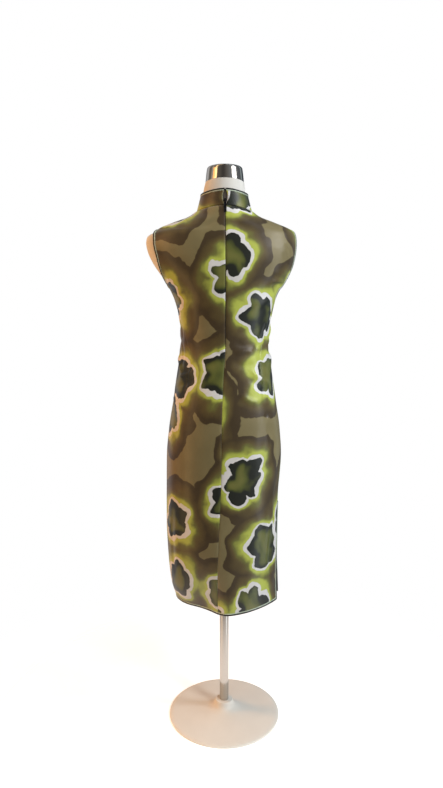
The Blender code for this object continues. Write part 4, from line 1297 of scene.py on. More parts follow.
def print_distance(tree, coordinates):
    """Distance from the nearest blossom's centre, scalloped into petals, and the warped place."""
    warp = add_node(tree, "TexNoise", noise_dimensions="2D", Vector=coordinates, Scale=1.9,
                    Detail=1.5, Roughness=0.45)
    centred = add_node(tree, "VectorMath", operation="SUBTRACT", _0=warp.outputs["Color"],
                       _1=(0.5, 0.5, 0.5))
    swing = add_node(tree, "VectorMath", operation="SCALE", _0=centred, Scale=PRINT_WARP)
    place = add_node(tree, "VectorMath", operation="ADD", _0=coordinates, _1=swing)
    cells = add_node(tree, "TexVoronoi", voronoi_dimensions="2D", Vector=place, Scale=1.0,
                     Randomness=BLOSSOM_SCATTER)
    local = add_node(tree, "VectorMath", operation="SUBTRACT", _0=place,
                     _1=cells.outputs["Position"])
    axes = add_node(tree, "SeparateXYZ", _0=local)
    angle = add_node(tree, "Math", operation="ARCTAN2", _0=axes.outputs["Y"],
                     _1=axes.outputs["X"])
    tone = add_node(tree, "SeparateColor", _0=cells.outputs["Color"])
    start = add_node(tree, "Math", operation="MULTIPLY", _0=tone, _1=math.tau)
    turn = add_node(tree, "Math", operation="MULTIPLY_ADD", _0=angle, _1=PETALS / 2, _2=start)
    swung = add_node(tree, "Math", operation="COSINE", _0=turn)
    rounded = add_node(tree, "Math", operation="ABSOLUTE", _0=swung)
    lobes = add_node(tree, "Math", operation="SUBTRACT", _0=rounded, _1=PETAL_MIDDLE)
    distance = cells.outputs["Distance"]
    opening = add_node(tree, "MapRange", interpolation_type="SMOOTHSTEP", _0=distance,
                       _1=PETALS_START[0], _2=PETALS_START[1], _3=0.0, _4=PETAL_DEPTH)
    closing = add_node(tree, "MapRange", interpolation_type="SMOOTHSTEP", _0=distance,
                       _1=PETALS_END[0], _2=PETALS_END[1], _3=1.0, _4=0.0)
    window = add_node(tree, "Math", operation="MULTIPLY", _0=opening, _1=closing)
    petals = add_node(tree, "Math", operation="MULTIPLY", _0=lobes, _1=window)
    scalloped = add_node(tree, "Math", operation="SUBTRACT", _0=distance, _1=petals)
    brush = add_node(tree, "TexNoise", noise_dimensions="2D", Vector=coordinates, Scale=7.0,
                     Detail=2.0)
    waver = add_node(tree, "MapRange", _0=brush, _1=0.25, _2=0.75, _3=-RING_WAVER, _4=RING_WAVER)
    return add_node(tree, "Math", operation="ADD", _0=scalloped, _1=waver), place


def printed_satin(cut, colours):
    """Polyester satin, screen printed. The floats give it a soft, wide sheen and the inks lie
    flat in it, in sharp bands of khaki and brown round blossoms with glowing rims."""
    made, tree, shader = new_material(f"printed polyester satin, {cut}")
    (shift_u, shift_v), turn = PRINT_CUTS[cut]
    repeat = colours.repeat
    uv = add_node(tree, "UVMap", uv_map="flat_cloth")
    mapped = add_node(tree, "Mapping", Vector=uv, Location=(shift_u, shift_v, 0.0),
                      Rotation=(0.0, 0.0, math.radians(turn)),
                      Scale=(1 / repeat, 1 / (1.08 * repeat), 1.0))
    distance, place = print_distance(tree, mapped)

    ring = PRINT_RINGS
    uneven = add_node(tree, "TexNoise", noise_dimensions="2D", Vector=mapped, Scale=2.6,
                      Detail=1.0)
    bleed = add_node(tree, "MapRange", _0=uneven, _1=0.30, _2=0.70, _3=-HALO_BLEED, _4=HALO_BLEED)
    outside = add_node(tree, "MapRange", interpolation_type="SMOOTHSTEP", _0=distance,
                       _1=ring["rim"] + RING_EDGE, _2=ring["glow"], _3=0.0, _4=1.0)
    spread_out = add_node(tree, "Math", operation="MULTIPLY_ADD", _0=bleed, _1=outside,
                          _2=distance)
    bands = add_node(tree, "ValToRGB", Fac=spread_out, stops=[
        (0.0, colours.rim), (ring["rim"], colours.rim),
        (ring["rim"] + RING_EDGE, colours.halo), (ring["halo"], colours.halo),
        (ring["glow"], colours.halo_fade), (ring["shade"], colours.brown),
        (ring["dark"], colours.dark_brown), (ring["ground"], colours.dark_brown),
        (ring["ground"] + RING_EDGE, colours.khaki),
    ])
    glow = add_node(tree, "TexNoise", noise_dimensions="2D", Vector=place, Scale=3.0, Detail=1.0)
    middle = add_node(tree, "MapRange", interpolation_type="SMOOTHSTEP", _0=distance, _1=0.10,
                      _2=ring["core"], _3=0.06, _4=-0.20)
    lit = add_node(tree, "Math", operation="ADD", _0=glow, _1=middle)
    core = add_node(tree, "ValToRGB", Fac=lit, stops=[
        (0.38, colours.core), (0.54, colours.core_glow), (0.68, colours.halo_fade)])
    hand = add_node(tree, "TexNoise", noise_dimensions="2D", Vector=place, Scale=5.0, Detail=1.0)
    edge = add_node(tree, "MapRange", _0=hand, _1=0.30, _2=0.70,
                    _3=ring["core"] - RIM_WAVER, _4=ring["core"] + RIM_WAVER)
    inside = add_node(tree, "Math", operation="LESS_THAN", _0=distance, _1=edge)
    inks = add_node(tree, "Mix", data_type="RGBA", _0=inside, _6=bands, _7=core)
    soak = add_node(tree, "TexNoise", Vector=uv, Scale=1 / (45 * MM), Detail=2.0)
    depth = add_node(tree, "MapRange", _0=soak, _1=0.3, _2=0.7, _3=INK_DEPTH[0], _4=INK_DEPTH[1])
    soaked = add_node(tree, "VectorMath", operation="SCALE", _0=inks.outputs[2], Scale=depth)
    feed(tree, shader, Base_Color=soaked, Roughness=0.34, Specular_IOR_Level=0.50,
         Sheen_Weight=0.10, Sheen_Roughness=0.35)
    satin_relief(tree, shader, uv)
    return made


def bias_satin(name, colour, roughness):
    """Bias-cut satin, folded and pressed, with the light running along its folds."""
    made, tree, shader = new_material(name)
    coordinates = add_node(tree, "TexCoord").outputs["Object"]
    soak = add_node(tree, "TexNoise", Vector=coordinates, Scale=1 / (9 * MM), Detail=2.0)
    feed(tree, shader, Base_Color=shaded(tree, soak, colour, (0.3, 0.8), (0.7, 1.15)),
         Roughness=roughness, Sheen_Weight=0.10)
    turned_bias = add_node(tree, "Mapping", Vector=coordinates,
                           Rotation=(math.radians(45), math.radians(45), 0.0),
                           Scale=(1 / (0.5 * MM), 1 / (2.5 * MM), 1 / (0.5 * MM)))
    floats = add_node(tree, "TexNoise", Vector=turned_bias, Scale=1.0)
    relief_bump(tree, shader, (floats, 0.05))
    return made


def woven_tape(colour):
    """Polyester zip tape: a matt, dense twill whose ribs run up the tape 0.8 mm apart, with painted shade in the
    troughs between the ribs.
    """
    made, tree, shader = new_material("woven polyester tape")
    ribs = add_node(tree, "TexWave", bands_direction="X", Distortion=0.4, Detail=1.0,
                    Vector=add_node(tree, "TexCoord").outputs["Object"],
                    Scale=WAVE_TURN / (0.8 * MM)).outputs["Fac"]
    # Painted shade: the tape's colour darkens to 0.6 of itself in the troughs between the ribs.
    feed(tree, shader, Base_Color=shaded(tree, ribs, colour, (0.0, 0.6), (1.0, 1.0)),
         Roughness=0.78)
    relief_bump(tree, shader, (ribs, 0.10))
    return made


def enamelled_metal(colour):
    """Die-cast zip metal under slate enamel, rubbed a little brighter in patches."""
    made, tree, shader = new_material("slate enamelled zinc")
    wear = add_node(tree, "TexNoise", Vector=add_node(tree, "TexCoord").outputs["Object"],
                    Scale=1 / (2.5 * MM), Detail=3.0)
    feed(tree, shader, Base_Color=shaded(tree, wear, colour, (0.45, 1.0), (0.75, 2.4)),
         Metallic=0.85, Roughness=0.34)
    relief_bump(tree, shader, (wear, 0.03))
    return made


def cotton_jersey(colour):
    """Fine cotton jersey stretched over foam: matt, slightly hairy, with knit columns that are
    drawn 1.6 mm apart because the real ones are too fine to show."""
    made, tree, shader = new_material("cotton jersey")
    uv = add_node(tree, "UVMap", uv_map="flat_cloth")
    columns, courses = (
        add_node(tree, "TexWave", bands_direction=axis, Vector=uv, Scale=WAVE_TURN / (apart * MM),
                 Distortion=0.6, Detail=1.0).outputs["Fac"]
        for axis, apart in (("X", 1.6), ("Y", 1.2)))
    soil = add_node(tree, "TexNoise", Vector=uv, Scale=1 / (60 * MM), Detail=3.0)
    feed(tree, shader, Base_Color=shaded(tree, soil, colour, (0.3, 0.92), (0.7, 1.0)),
         Roughness=0.86, Sheen_Weight=0.25)
    relief_bump(tree, shader, (columns, 0.05), (courses, 0.04))
    return made


def chromed_steel(roughness):
    """Chrome over brushed steel: a mirror broken into upright streaks by the brush marks."""
    made, tree, shader = new_material("chromed brushed steel")
    drawn = add_node(tree, "Mapping", Vector=add_node(tree, "TexCoord").outputs["Object"],
                     Scale=(1 / (1.4 * MM), 1 / (1.4 * MM), 1 / (160 * MM)))
    marks = add_node(tree, "TexNoise", Vector=drawn, Scale=1.0, Detail=3.0)
    dulled = add_node(tree, "MapRange", _0=marks, _1=0.3, _2=0.7, _3=roughness,
                      _4=roughness + 0.10)
    feed(tree, shader, Base_Color=(*linear("#B9B5AF"), 1.0), Metallic=1.0, Roughness=dulled)
    relief_bump(tree, shader, (marks, 0.02))
    return made


def powder_coat(colour):
    """Powder-coated steel: an even, low gloss with the fine orange peel of baked powder."""
    made, tree, shader = new_material("powder-coated steel")
    coordinates = add_node(tree, "TexCoord").outputs["Object"]
    peel = add_node(tree, "TexNoise", Vector=coordinates, Scale=1 / (1.8 * MM), Detail=1.0)
    dust = add_node(tree, "TexNoise", Vector=coordinates, Scale=1 / (70 * MM), Detail=3.0)
    feed(tree, shader, Base_Color=shaded(tree, dust, colour, (0.3, 0.95), (0.7, 1.0)),
         Roughness=0.48)
    relief_bump(tree, shader, (peel, 0.04))
    return made


def studio_paper(colour):
    """Seamless background paper: pale, matt and even, with only a trace of tooth. It thins out
    towards the backdrop, so no horizon shows."""
    made, tree, shader = new_material("background paper")
    coordinates = add_node(tree, "TexCoord").outputs["Object"]
    tooth = add_node(tree, "TexNoise", Vector=coordinates, Scale=1 / (4 * MM), Detail=2.0)
    reach = add_node(tree, "VectorMath", operation="LENGTH", _0=coordinates).outputs["Value"]
    fade = add_node(tree, "MapRange", interpolation_type="SMOOTHSTEP", _0=reach,
                    _1=FLOOR_FADE[0], _2=FLOOR_FADE[1], _3=1.0, _4=0.0)
    feed(tree, shader, Base_Color=(*colour, 1.0), Roughness=0.92, Specular_IOR_Level=0.1,
         Emission_Color=(*colour, 1.0), Emission_Strength=0.45, Alpha=fade)
    relief_bump(tree, shader, (tooth, 0.03))
    return made


# ================================================================ settings
def length(name, description, default):
    return FloatProperty(name=name, description=description, default=default, unit="LENGTH")


def colour(name, description, code):
    return FloatVectorProperty(name=name, description=description, subtype="COLOR",
                               default=linear(code), min=0.0, max=1.0)


class ClothSettings(bpy.types.PropertyGroup):
    thickness: length("Cloth thickness", "Wall of the satin panels with their backing", 0.0008)
    creases: FloatProperty(name="Crease strength", description="Share of the creases' full depth",
                           default=1.0, min=0.0, max=2.0, subtype="FACTOR")
    seam_dip: length("Seam dip", "How far a stitched seam pulls the satin in", 0.0009)
    stitch: length("Stitch length", "Thread that shows in each stitch along the trims", 0.0021)


class PrintSettings(bpy.types.PropertyGroup):
    repeat: length("Print repeat", "Mean distance between two blossoms of the print", 0.178)
    core: colour("Core", "Darkest ink in the middle of a blossom", "#1D201A")
    core_glow: colour("Core glow", "Olive that glows through the core", "#53582A")
    rim: colour("Rim", "Pale grey line round each blossom", "#CCCAC7")
    halo: colour("Halo", "Chartreuse outside the rim", "#A6AF4C")
    halo_fade: colour("Halo fade", "Where the chartreuse sinks into the brown", "#656534")
    dark_brown: colour("Dark brown", "Ground between the blossoms", "#3E3322")
    brown: colour("Olive brown", "Where the halo has sunk into the ground", "#564A2C")
    khaki: colour("Khaki", "Flat patches where no blossom reaches", "#736949")


class TrimSettings(bpy.types.PropertyGroup):
    binding: colour("Binding", "Black-green satin on the very edge", "#0E100D")
    piping: colour("Piping", "Pale sage satin beside the binding", "#AFBAA6")
    tape: colour("Zip tape", "Twill tape under the zip's groove", "#4A443E")
    metal: colour("Zip metal", "Slate enamel of slider, pull and hook", "#202226")


class FormSettings(bpy.types.PropertyGroup):
    jersey: colour("Jersey", "Cream cotton jersey of the form", "#CFCCC4")
    base: colour("Base", "Powder coat of the stand's base", "#D8D4CA")
    chrome_roughness: FloatProperty(name="Chrome roughness", default=0.05, min=0.0, max=1.0,
                                    description="Blur of the cap's mirror", subtype="FACTOR")


class StageSettings(bpy.types.PropertyGroup):
    distance: length("Camera distance", "From the zip to the lens, along the floor", 1.65)
    height: length("Camera height", "Lens above the floor", 1.1135)
    azimuth: FloatProperty(name="Camera azimuth", description="Turn towards the wearer's left",
                           default=math.radians(2.0), subtype="ANGLE")
    dip: FloatProperty(name="Camera dip", description="How far the camera looks down",
                       default=math.radians(6.8), subtype="ANGLE")
    lens_share: FloatProperty(name="Lens", description="Focal length in picture heights",
                              default=0.78426396, min=0.2, max=5.0)
    floor: colour("Floor", "Seamless paper under the stand", "#F2F1EF")
    warm: colour("Warm light", "Lamp on the wearer's left", "#FFB56B")
    cool: colour("Cool light", "Window light on the wearer's right", "#EAF3FF")


def settings(context, group):
    return getattr(context.scene, f"qipao_{group}")


# ================================================================ the dress
BIAS_SATINS = {  # each trim's satin and its roughness
    "binding": ("black-green bias satin", 0.34),
    "piping": ("sage bias satin", 0.40),
}
# Each bound edge: its surface, its line at an inset, and the outer face of the cloth beside it.
BOUND_EDGES = {
    "hem_back": (body, partial(skirt_edge, "back"), CLOTH),
    "hem_front": (body, partial(skirt_edge, "front"), CLOTH),
    "armhole_left": (body, partial(armhole_ring, "left"), CLOTH),
    "armhole_right": (body, partial(armhole_ring, "right"), CLOTH),
    "collar_left": (collar, partial(collar_edge, "left"), COLLAR_WALL),
    "collar_right": (collar, partial(collar_edge, "right"), COLLAR_WALL),
}


class QIPAO_OT_panels(bpy.types.Operator):
    """Cut and hang the two backs and the front"""
    bl_idname = "qipao.panels"
    bl_label = "Panels"

    def execute(self, context):
        for side in SIDES:
            grid = back_panel(side)
            centre, outer = (-1, 0) if side == "left" else (0, -1)
            self.hang(context, f"back_{side}", grid, [centre], [outer])
        self.hang(context, "front", front_panel(), [], [0, -1])
        return {"FINISHED"}

    def hang(self, context, name, grid, back_seams, side_seams):
        """A panel on its grid, pulled in along the columns that are its seams."""
        cloth = settings(context, "cloth")
        columns = len(grid[0])
        base = surface_points(body, grid)
        normals = grid_normals(base)
        centre = back_seams[0] % columns if back_seams else columns // 2
        flat = flat_lengths(base, centre)
        height = CLOTH + relief(base, normals, cloth.creases)
        for seams, rows in ((back_seams, slice(None)), (side_seams, SEAM_ROWS)):
            for seam in seams:
                distance = flat[:, :, 0] - flat[:, seam % columns, 0][:, None]
                height[rows] += dip(distance, SEAM_DIP_WIDTH, -cloth.seam_dip)[rows]
        height += dip(flat[-1:, :, 1] - flat[:, :, 1], NECK_DIP_WIDTH,
                      -NECK_DIP_SHARE * cloth.seam_dip)
        panel = add_cloth(f"{name}_satin", base + normals * height[:, :, None], flat,
                          printed_satin(name, settings(context, "print")), cloth.thickness)
        dress(panel, "printed_satin", name)


class QIPAO_OT_collar(bpy.types.Operator):
    """Set the two halves of the stand collar"""
    bl_idname = "qipao.collar"
    bl_label = "Collar"

    def execute(self, context):
        for side in SIDES:
            name = f"collar_{side}"
            base = surface_points(collar, collar_band(side))
            flat = flat_lengths(base, base.shape[1] - 1 if side == "left" else 0)
            band = add_cloth(f"{name}_satin", base + grid_normals(base) * COLLAR_WALL, flat,
                             printed_satin(name, settings(context, "print")), COLLAR_WALL)
            dress(band, "printed_satin", name)
        return {"FINISHED"}


class QIPAO_OT_trims(bpy.types.Operator):
    """Roll the bindings and pipings round every free edge"""
    bl_idname = "qipao.trims"
    bl_label = "Bindings and pipings"

    def execute(self, context):
        trim = settings(context, "trim")
        strength = settings(context, "cloth").creases
        finishes = {}
        for kind, (satin, roughness) in BIAS_SATINS.items():
            finishes[kind] = bias_satin(satin, getattr(trim, kind), roughness)
        for name, (surface, line, _) in BOUND_EDGES.items():
            for part, kind, oval in (("bound_edge", "binding", BINDING_ROLL),
                                     ("piped_edge", "piping", PIPING_ROLL)):
                roll = add_roll(f"{name}_{part}", surface, line, roll_profile(*oval),
                                finishes[kind], strength)
                dress(roll, f"{kind}_satin", f"{name}_{kind}")
        return {"FINISHED"}


class QIPAO_OT_stitching(bpy.types.Operator):
    """Run small stitches along the inner edge of every piping"""
    bl_idname = "qipao.stitching"
    bl_label = "Stitching"

    def execute(self, context):
        cloth = settings(context, "cloth")
        size = (cloth.stitch / 2, *STITCH_HALF)
        thread = bpy.data.materials[BIAS_SATINS["piping"][0]]
        for name, (surface, line, lift) in BOUND_EDGES.items():
            points, normals = laid_line(surface, [[place] for place in line(STITCH_INSET)],
                                        [lift + STITCH_LIFT], cloth.creases)
            places = [upright_frame(*step) for step in
                      evenly(points[:, 0], normals[:, 0], cloth.stitch * STITCH_STEP)]
            dress(add_beads(f"{name}_stitches", places, size, thread), "piping_satin")
        return {"FINISHED"}


# ================================================================ the zip
ACROSS = Vector((1.0, 0.0, 0.0))


def slider_frame():
    """The slider's own frame on the underlap: X across, Y off the collar, Z up the zip."""
    off = outward(collar, 180.0, SLIDER_HEIGHT)
    lift = TAPE_LIFT + TAPE_WALL + SEAM_GAP + SLIDER_SIZE.y / 2
    seat = collar(180.0, SLIDER_HEIGHT) + off * lift
    off.x = 0.0
    off.normalize()
    seat.x = 0.0
    axes = Matrix((ACROSS, off, ACROSS.cross(off))).transposed().to_4x4()
    axes.translation = seat
    return axes


def new_block(bm, size, centre):
    """A sharp block, as the set of its edges."""
    made = bmesh.ops.create_cube(bm, size=1.0, matrix=Matrix.Translation(centre)
                                 @ Matrix.Diagonal((*size, 1.0)))
    return {edge for vert in made["verts"] for edge in vert.link_edges}


def rounded_off(bm, edges, radius, segments):
    """Rounds edges off, and returns the points of the new faces."""
    rounded = bmesh.ops.bevel(bm, geom=list(edges), offset=radius, offset_type="OFFSET",
                              segments=segments, profile=0.5, affect="EDGES", material=-1)
    return {vert for face in rounded["faces"] for vert in face.verts}


def rounded_block(bm, place, size, centre, radius):
    """A block with rounded edges, put into a bmesh at a place in its own axes."""
    verts = rounded_off(bm, new_block(bm, size, centre), radius, 3)
    bmesh.ops.transform(bm, matrix=place, verts=list(verts))


def wire(name, strokes, radius, finish, place):
    """Round wire along each stroke of points, as one closed mesh."""
    curve = bpy.data.curves.new(name, "CURVE")
    curve.dimensions = "3D"
    curve.bevel_depth = radius
    curve.bevel_resolution = 3
    curve.use_fill_caps = True
    for points in strokes:
        spline = curve.splines.new("NURBS")
        spline.points.add(len(points) - 1)
        for target, point in zip(spline.points, points):
            target.co = (*point, 1.0)
        spline.use_endpoint_u = True
        spline.order_u = 3
        spline.resolution_u = 6
    helper = bpy.data.objects.new(name, curve)
    bpy.context.scene.collection.objects.link(helper)
    bpy.context.view_layer.update()
    graph = bpy.context.evaluated_depsgraph_get()
    mesh = bpy.data.meshes.new_from_object(helper.evaluated_get(graph))
    bpy.data.objects.remove(helper)
    bpy.data.curves.remove(curve)
    bm = bmesh.new()
    bm.from_mesh(mesh)
    bpy.data.meshes.remove(mesh)
    bmesh.ops.remove_doubles(bm, verts=bm.verts[:], dist=MERGE)
    bmesh.ops.transform(bm, matrix=place, verts=bm.verts[:])
    bmesh.ops.recalc_face_normals(bm, faces=bm.faces[:])
    return add_object(name, bm, finish)


class QIPAO_OT_zip(bpy.types.Operator):
    """Sew in the concealed zip with its tape, coil, slider and hook"""
    bl_idname = "qipao.zip"
    bl_label = "Zip and hook"

    def execute(self, context):
        trim = settings(context, "trim")
        self.add_tapes(woven_tape(trim.tape))
        metal = enamelled_metal(trim.metal)
        self.add_coil(metal)
        self.add_slider(metal)
        self.add_pull(metal)
        self.add_hook(metal)
        return {"FINISHED"}

    def add_tapes(self, twill):
        shares = (-1.0, -0.5, 0.0, 0.5, 1.0)
        tape, underlap = [], []
        for z in spread(ZIP_END_Z - TAPE_TAIL, neckline(180.0)[1], TAPE_ROWS):
            middle = centre_back(z)
            reach = degrees_for(z, middle, TAPE_HALF_WIDTH)
            tape.append([(middle + reach * share, z) for share in shares])
        for height in spread(0.0, COLLAR_RISE - UNDERLAP_SHORT, UNDERLAP_ROWS):
            reach = collar_degrees(height, 180.0, TAPE_HALF_WIDTH)
            underlap.append([(180.0 + reach * share, height) for share in shares])
        for node, surface, grid in (("zip_tape", body, tape),
                                    ("collar_underlap", collar, underlap)):
            base = surface_points(surface, grid)
            points = base + grid_normals(base) * (TAPE_LIFT + TAPE_WALL)
            strip = add_cloth(f"{node}_twill", points, flat_lengths(base, 2), twill, TAPE_WALL)
            dress(strip, "zip_tape", node)

    def add_coil(self, metal):
        """Two interlocked rows of coil turns down the middle of the groove."""
        low, high = ZIP_END_Z + COIL_ENDS[0], neckline(180.0)[1] - COIL_ENDS[1]
        turns = []
        for index, z in enumerate(spread(low, high, COIL_TURNS)):
            degrees = centre_back(z)
            off = outward(body, degrees, z)
            swing = COIL_SWING if index % 2 else -COIL_SWING
            turns.append(upright_frame(body(degrees, z) + off * COIL_LIFT + ACROSS * swing,
                                       ACROSS, off))
        dress(add_beads("zip_coil", turns, COIL_TURN, metal), "zip_metal")

    def add_slider(self, metal):
        place = slider_frame()
        size = SLIDER_SIZE
        bm = bmesh.new()
        rounded_block(bm, place, size, Vector(), SLIDER_ROUNDING)
        for sign in (-1.0, 1.0):
            centre = Vector((sign * (size.x - EAR_SIZE.x) / 2,
                             size.y / 2 - EAR_SINK + EAR_SIZE.y / 2, PIN_PLACE.z))
            rounded_block(bm, place, EAR_SIZE, centre, EAR_ROUNDING)
        dress(add_object("zip_slider_body", bm, metal), "zip_metal", "zip_slider")

    def add_pull(self, metal):
        """The pin, the shank and the flat plate, which turn together in the slider's ears."""
        place = Matrix.Translation(slider_frame() @ PIN_PLACE) @ Matrix.Rotation(PULL_TILT, 4, "X")
        bm = bmesh.new()
        bmesh.ops.create_cone(bm, cap_ends=True, segments=16, radius1=PIN_RADIUS,
                              radius2=PIN_RADIUS, depth=SLIDER_SIZE.x - PIN_MARGIN,
                              matrix=place @ Matrix.Rotation(math.pi / 2, 4, "Y"))
        rounded_block(bm, place, SHANK_SIZE, Vector((0.0, 0.0, -SHANK_SIZE.z / 2)), SHANK_ROUNDING)
        self.add_tab(bm, place)
        pull = add_object("zip_pull_plate", bm, metal)
        dress(pull, "zip_metal", "zip_pull", rides_on=PULL_TAB)

    def add_tab(self, bm, place):
        """The pull's flat plate, with rounded corners and a shallow recess on both faces."""
        edges = new_block(bm, TAB_SIZE, Vector((0.0, 0.0, TAB_SIZE.z / 2 - PULL_LENGTH)))
        corners = {edge for edge in edges
                   if abs(edge.verts[0].co.y - edge.verts[1].co.y) > TAB_SIZE.y / 2}
        verts = rounded_off(bm, corners, TAB_CORNER, 5)
        broad = [face for face in bm.faces if len(face.verts) > 8 and verts.issuperset(face.verts)]
        rim = bmesh.ops.inset_region(bm, faces=broad, thickness=TAB_RIM, depth=0.0,
                                     use_even_offset=True)
        for face in broad:
            normal = face.normal.copy()
            for vert in face.verts:
                vert.co -= normal * TAB_RECESS
        verts |= {vert for face in rim["faces"] + broad for vert in face.verts}
        bmesh.ops.transform(bm, matrix=place, verts=list(verts))

    def add_hook(self, metal):
        """A wire hook on one collar end and a wire eye on the other, closed over the gap."""
        height = COLLAR_RISE - HOOK_DROP
        off = outward(collar, 180.0, height)
        seat = collar(180.0, height) + off * (TAPE_LIFT + TAPE_WALL + HOOK_LIFT)
        fitting = wire("collar_hook_and_eye", [HOOK_BEND, EYE_BEND], WIRE_RADIUS, metal,
                       upright_frame(seat, ACROSS, off))
        dress(fitting, "zip_metal", "collar_hook")


class QIPAO_OT_cut(bpy.types.Operator):
    """State the flat cut of every piece of cloth and what is sewn to it"""
    bl_idname = "qipao.cut"
    bl_label = "Cut sizes"

    def execute(self, context):
        for name, cut in CUTS.items():
            trims = [f"{edge}_{part}" for edge in SEWN_ON.get(name, ())
                     for part in ("bound_edge", "piped_edge", "stitches")]
            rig.sheet(bpy.data.objects[name], with_pieces=trims, **cut)
        return {"FINISHED"}


# ================================================================ the dress form and its stand
def form_heights():
    heights = [FORM_BOTTOM_Z]
    for top, rows in FORM_ROWS:
        heights += spread(heights[-1], top, rows)[1:]
    return heights


def leaned(point):
    """A point of the form, lowered towards the front round the neck's slanting top."""
    if point.z > NECK_TOP_Z:
        share = (CAP_TOP_Z - point.z) / (CAP_TOP_Z - NECK_TOP_Z)
    else:
        share = max((point.z - NECK_TILT_START_Z) / (NECK_TOP_Z - NECK_TILT_START_Z), 0.0)
    reach = point.y - (COLUMN["back"](NECK_TOP_Z) - FORM_CLEARANCE)
    return Vector((point.x, point.y, point.z + share * reach * math.tan(NECK_TILT)))


class QIPAO_OT_form(bpy.types.Operator):
    """Pad and cover the limbless form that fills the dress"""
    bl_idname = "qipao.form"
    bl_label = "Dress form"

    def execute(self, context):
        jersey = cotton_jersey(settings(context, "form").jersey)
        grid = [[(360.0 * column / FORM_COLUMNS, z) for column in range(FORM_COLUMNS + 1)]
                for z in form_heights()]
        base = surface_points(body, grid)
        normals = grid_normals(base)
        normals[:, 0] = unit(normals[:, 0] + normals[:, -1])
        normals[:, -1] = normals[:, 0]
        points = base - normals * FORM_CLEARANCE
        points[0, :, 2] = FORM_BOTTOM_Z
        points[-1, :, 2] = NECK_TOP_Z
        bm = grid_mesh(points, flat_lengths(base, 0))
        for vert in bm.verts:
            vert.co = leaned(vert.co)
        torso = add_object("form_jersey_cover", closed_up(bm), jersey, SHARP_ROLL)
        dress(torso, "jersey", "form_torso")
        return {"FINISHED"}


CAP_PROFILE = [  # shares of the cap's radius and height
    (0.992, 0.00), (1.000, 0.02), (0.999, 0.07), (0.990, 0.18), (0.977, 0.32), (0.962, 0.48),
    (0.946, 0.64), (0.930, 0.78), (0.916, 0.87), (0.894, 0.925), (0.858, 0.962), (0.805, 0.984),
    (0.720, 0.996), (0.600, 1.000), (0.420, 1.000), (0.200, 1.000),
]
BASE_FOOT = 0.0010          # how far the base's foot stands in from its rim
BASE_RIM = 0.0032           # radius of the rim's rounding
BASE_SLOPE = [(0.92, 0.0074), (0.75, 0.0098), (0.52, 0.0138), (0.32, 0.0182)]   # share, height
BASE_SOCKET = [(0.0330, 0.0232), (0.0275, 0.0290), (0.0252, 0.0345)]            # radius, height
SOCKET_TOP = 0.0222         # where the rounding of the socket's top starts
SOCKET_RIM = 0.0018         # radius of that rounding
SOCKET_BORE = 0.0134        # clear of the pole


class QIPAO_OT_stand(bpy.types.Operator):
    """Turn the neck cap and the round base, and give the imported pole the chrome"""
    bl_idname = "qipao.stand"
    bl_label = "Cap and stand"

    def execute(self, context):
        form = settings(context, "form")
        chrome = chromed_steel(form.chrome_roughness)
        low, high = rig.box("form_cap")
        radius = (high.x - low.x) / 2
        rise = CAP_TOP_Z - NECK_TOP_Z
        profile = [(radius * share, max(rise * height, SEAM_GAP)) for share, height in CAP_PROFILE]
        cap = turned("form_neck_cap", profile, chrome,
                     Matrix.Translation(((low.x + high.x) / 2, (low.y + high.y) / 2, NECK_TOP_Z))
                     @ Matrix.Diagonal((1.0, (high.y - low.y) / (high.x - low.x), 1.0, 1.0)))
        for vert in cap.data.vertices:
            vert.co = leaned(vert.co)
        dress(cap, "chrome", "form_cap")
        frame["nodes"]["form_pole"].material_slots[0].material = chrome
        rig.slot(frame["nodes"]["form_pole"], "chrome")

        low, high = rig.box("form_base")
        radius = high.x
        top = high.z
        plate = ([(radius - BASE_FOOT, 0.0)]
                 + arc((radius - BASE_RIM, BASE_RIM), BASE_RIM, -50, 60, 8)
                 + [(radius * share, height) for share, height in BASE_SLOPE] + BASE_SOCKET
                 + arc((SOCKET_TOP, top - SOCKET_RIM), SOCKET_RIM, 10, 90, 5)
                 + [(SOCKET_BORE, top)])
        base = turned("form_base_plate", plate, powder_coat(form.base))
        dress(base, "powder_coat", "form_base")
        return {"FINISHED"}


# ================================================================ studio
Lamp = namedtuple("Lamp", "name place size power tint")
FLOOR_FADE = (0.20, 0.90)   # the paper thins out between these distances from the stand

# Upright strips of light round the room, which the chrome mirrors. Azimuths and widths are in
# degrees from straight behind the dress, towards the wearer's left.
Strip = namedtuple("Strip", "azimuth width strength tint")
STRIPS = [
    Strip(-120.0, 7.0, 0.5, "#DFF4F8"),
    Strip(-63.0, 8.0, 2.8, "#F2F8FF"),
    Strip(57.0, 10.0, 2.0, "#FFD9A0"),
    Strip(86.0, 9.0, 0.5, "#E2DCD4"),
    Strip(134.0, 30.0, 0.6, "#E6E6EC"),
]
GLEAMS = {"white gleam", "warm gleam"}   # seen only in the satin's folds and the chrome
LAMP_AIM = Vector((0.0, 0.0, 0.95))      # the middle of the dress
CAMERA_AIM_X = 0.0075       # a little to the wearer's left of the zip
SENSOR_HEIGHT = 36.0        # mm
FLOOR_SIZE = 6.0            # from its middle to a side
ROOM_SOFT_SHARE = 0.55      # how much of the room's own light reaches matt surfaces
STRIP_EDGE = 3.0            # how softly a strip's sides end, in degrees
STRIPS_SCALE = 4.0          # the brightest strength that a strip can have
ROOM = [                    # azimuth, dark walls between the strips
    (-180.0, "#4E5864"), (-150.0, "#3A434C"), (-128.0, "#6C747C"), (-96.0, "#70757A"),
    (-78.0, "#858A8F"), (-35.0, "#94979A"), (-22.0, "#858584"), (-9.0, "#74716D"),
    (6.0, "#54514E"), (17.0, "#55524F"), (30.0, "#6A665F"), (43.0, "#706A62"),
    (72.0, "#8E7A60"), (108.0, "#86817A"), (180.0, "#66686C"),
]


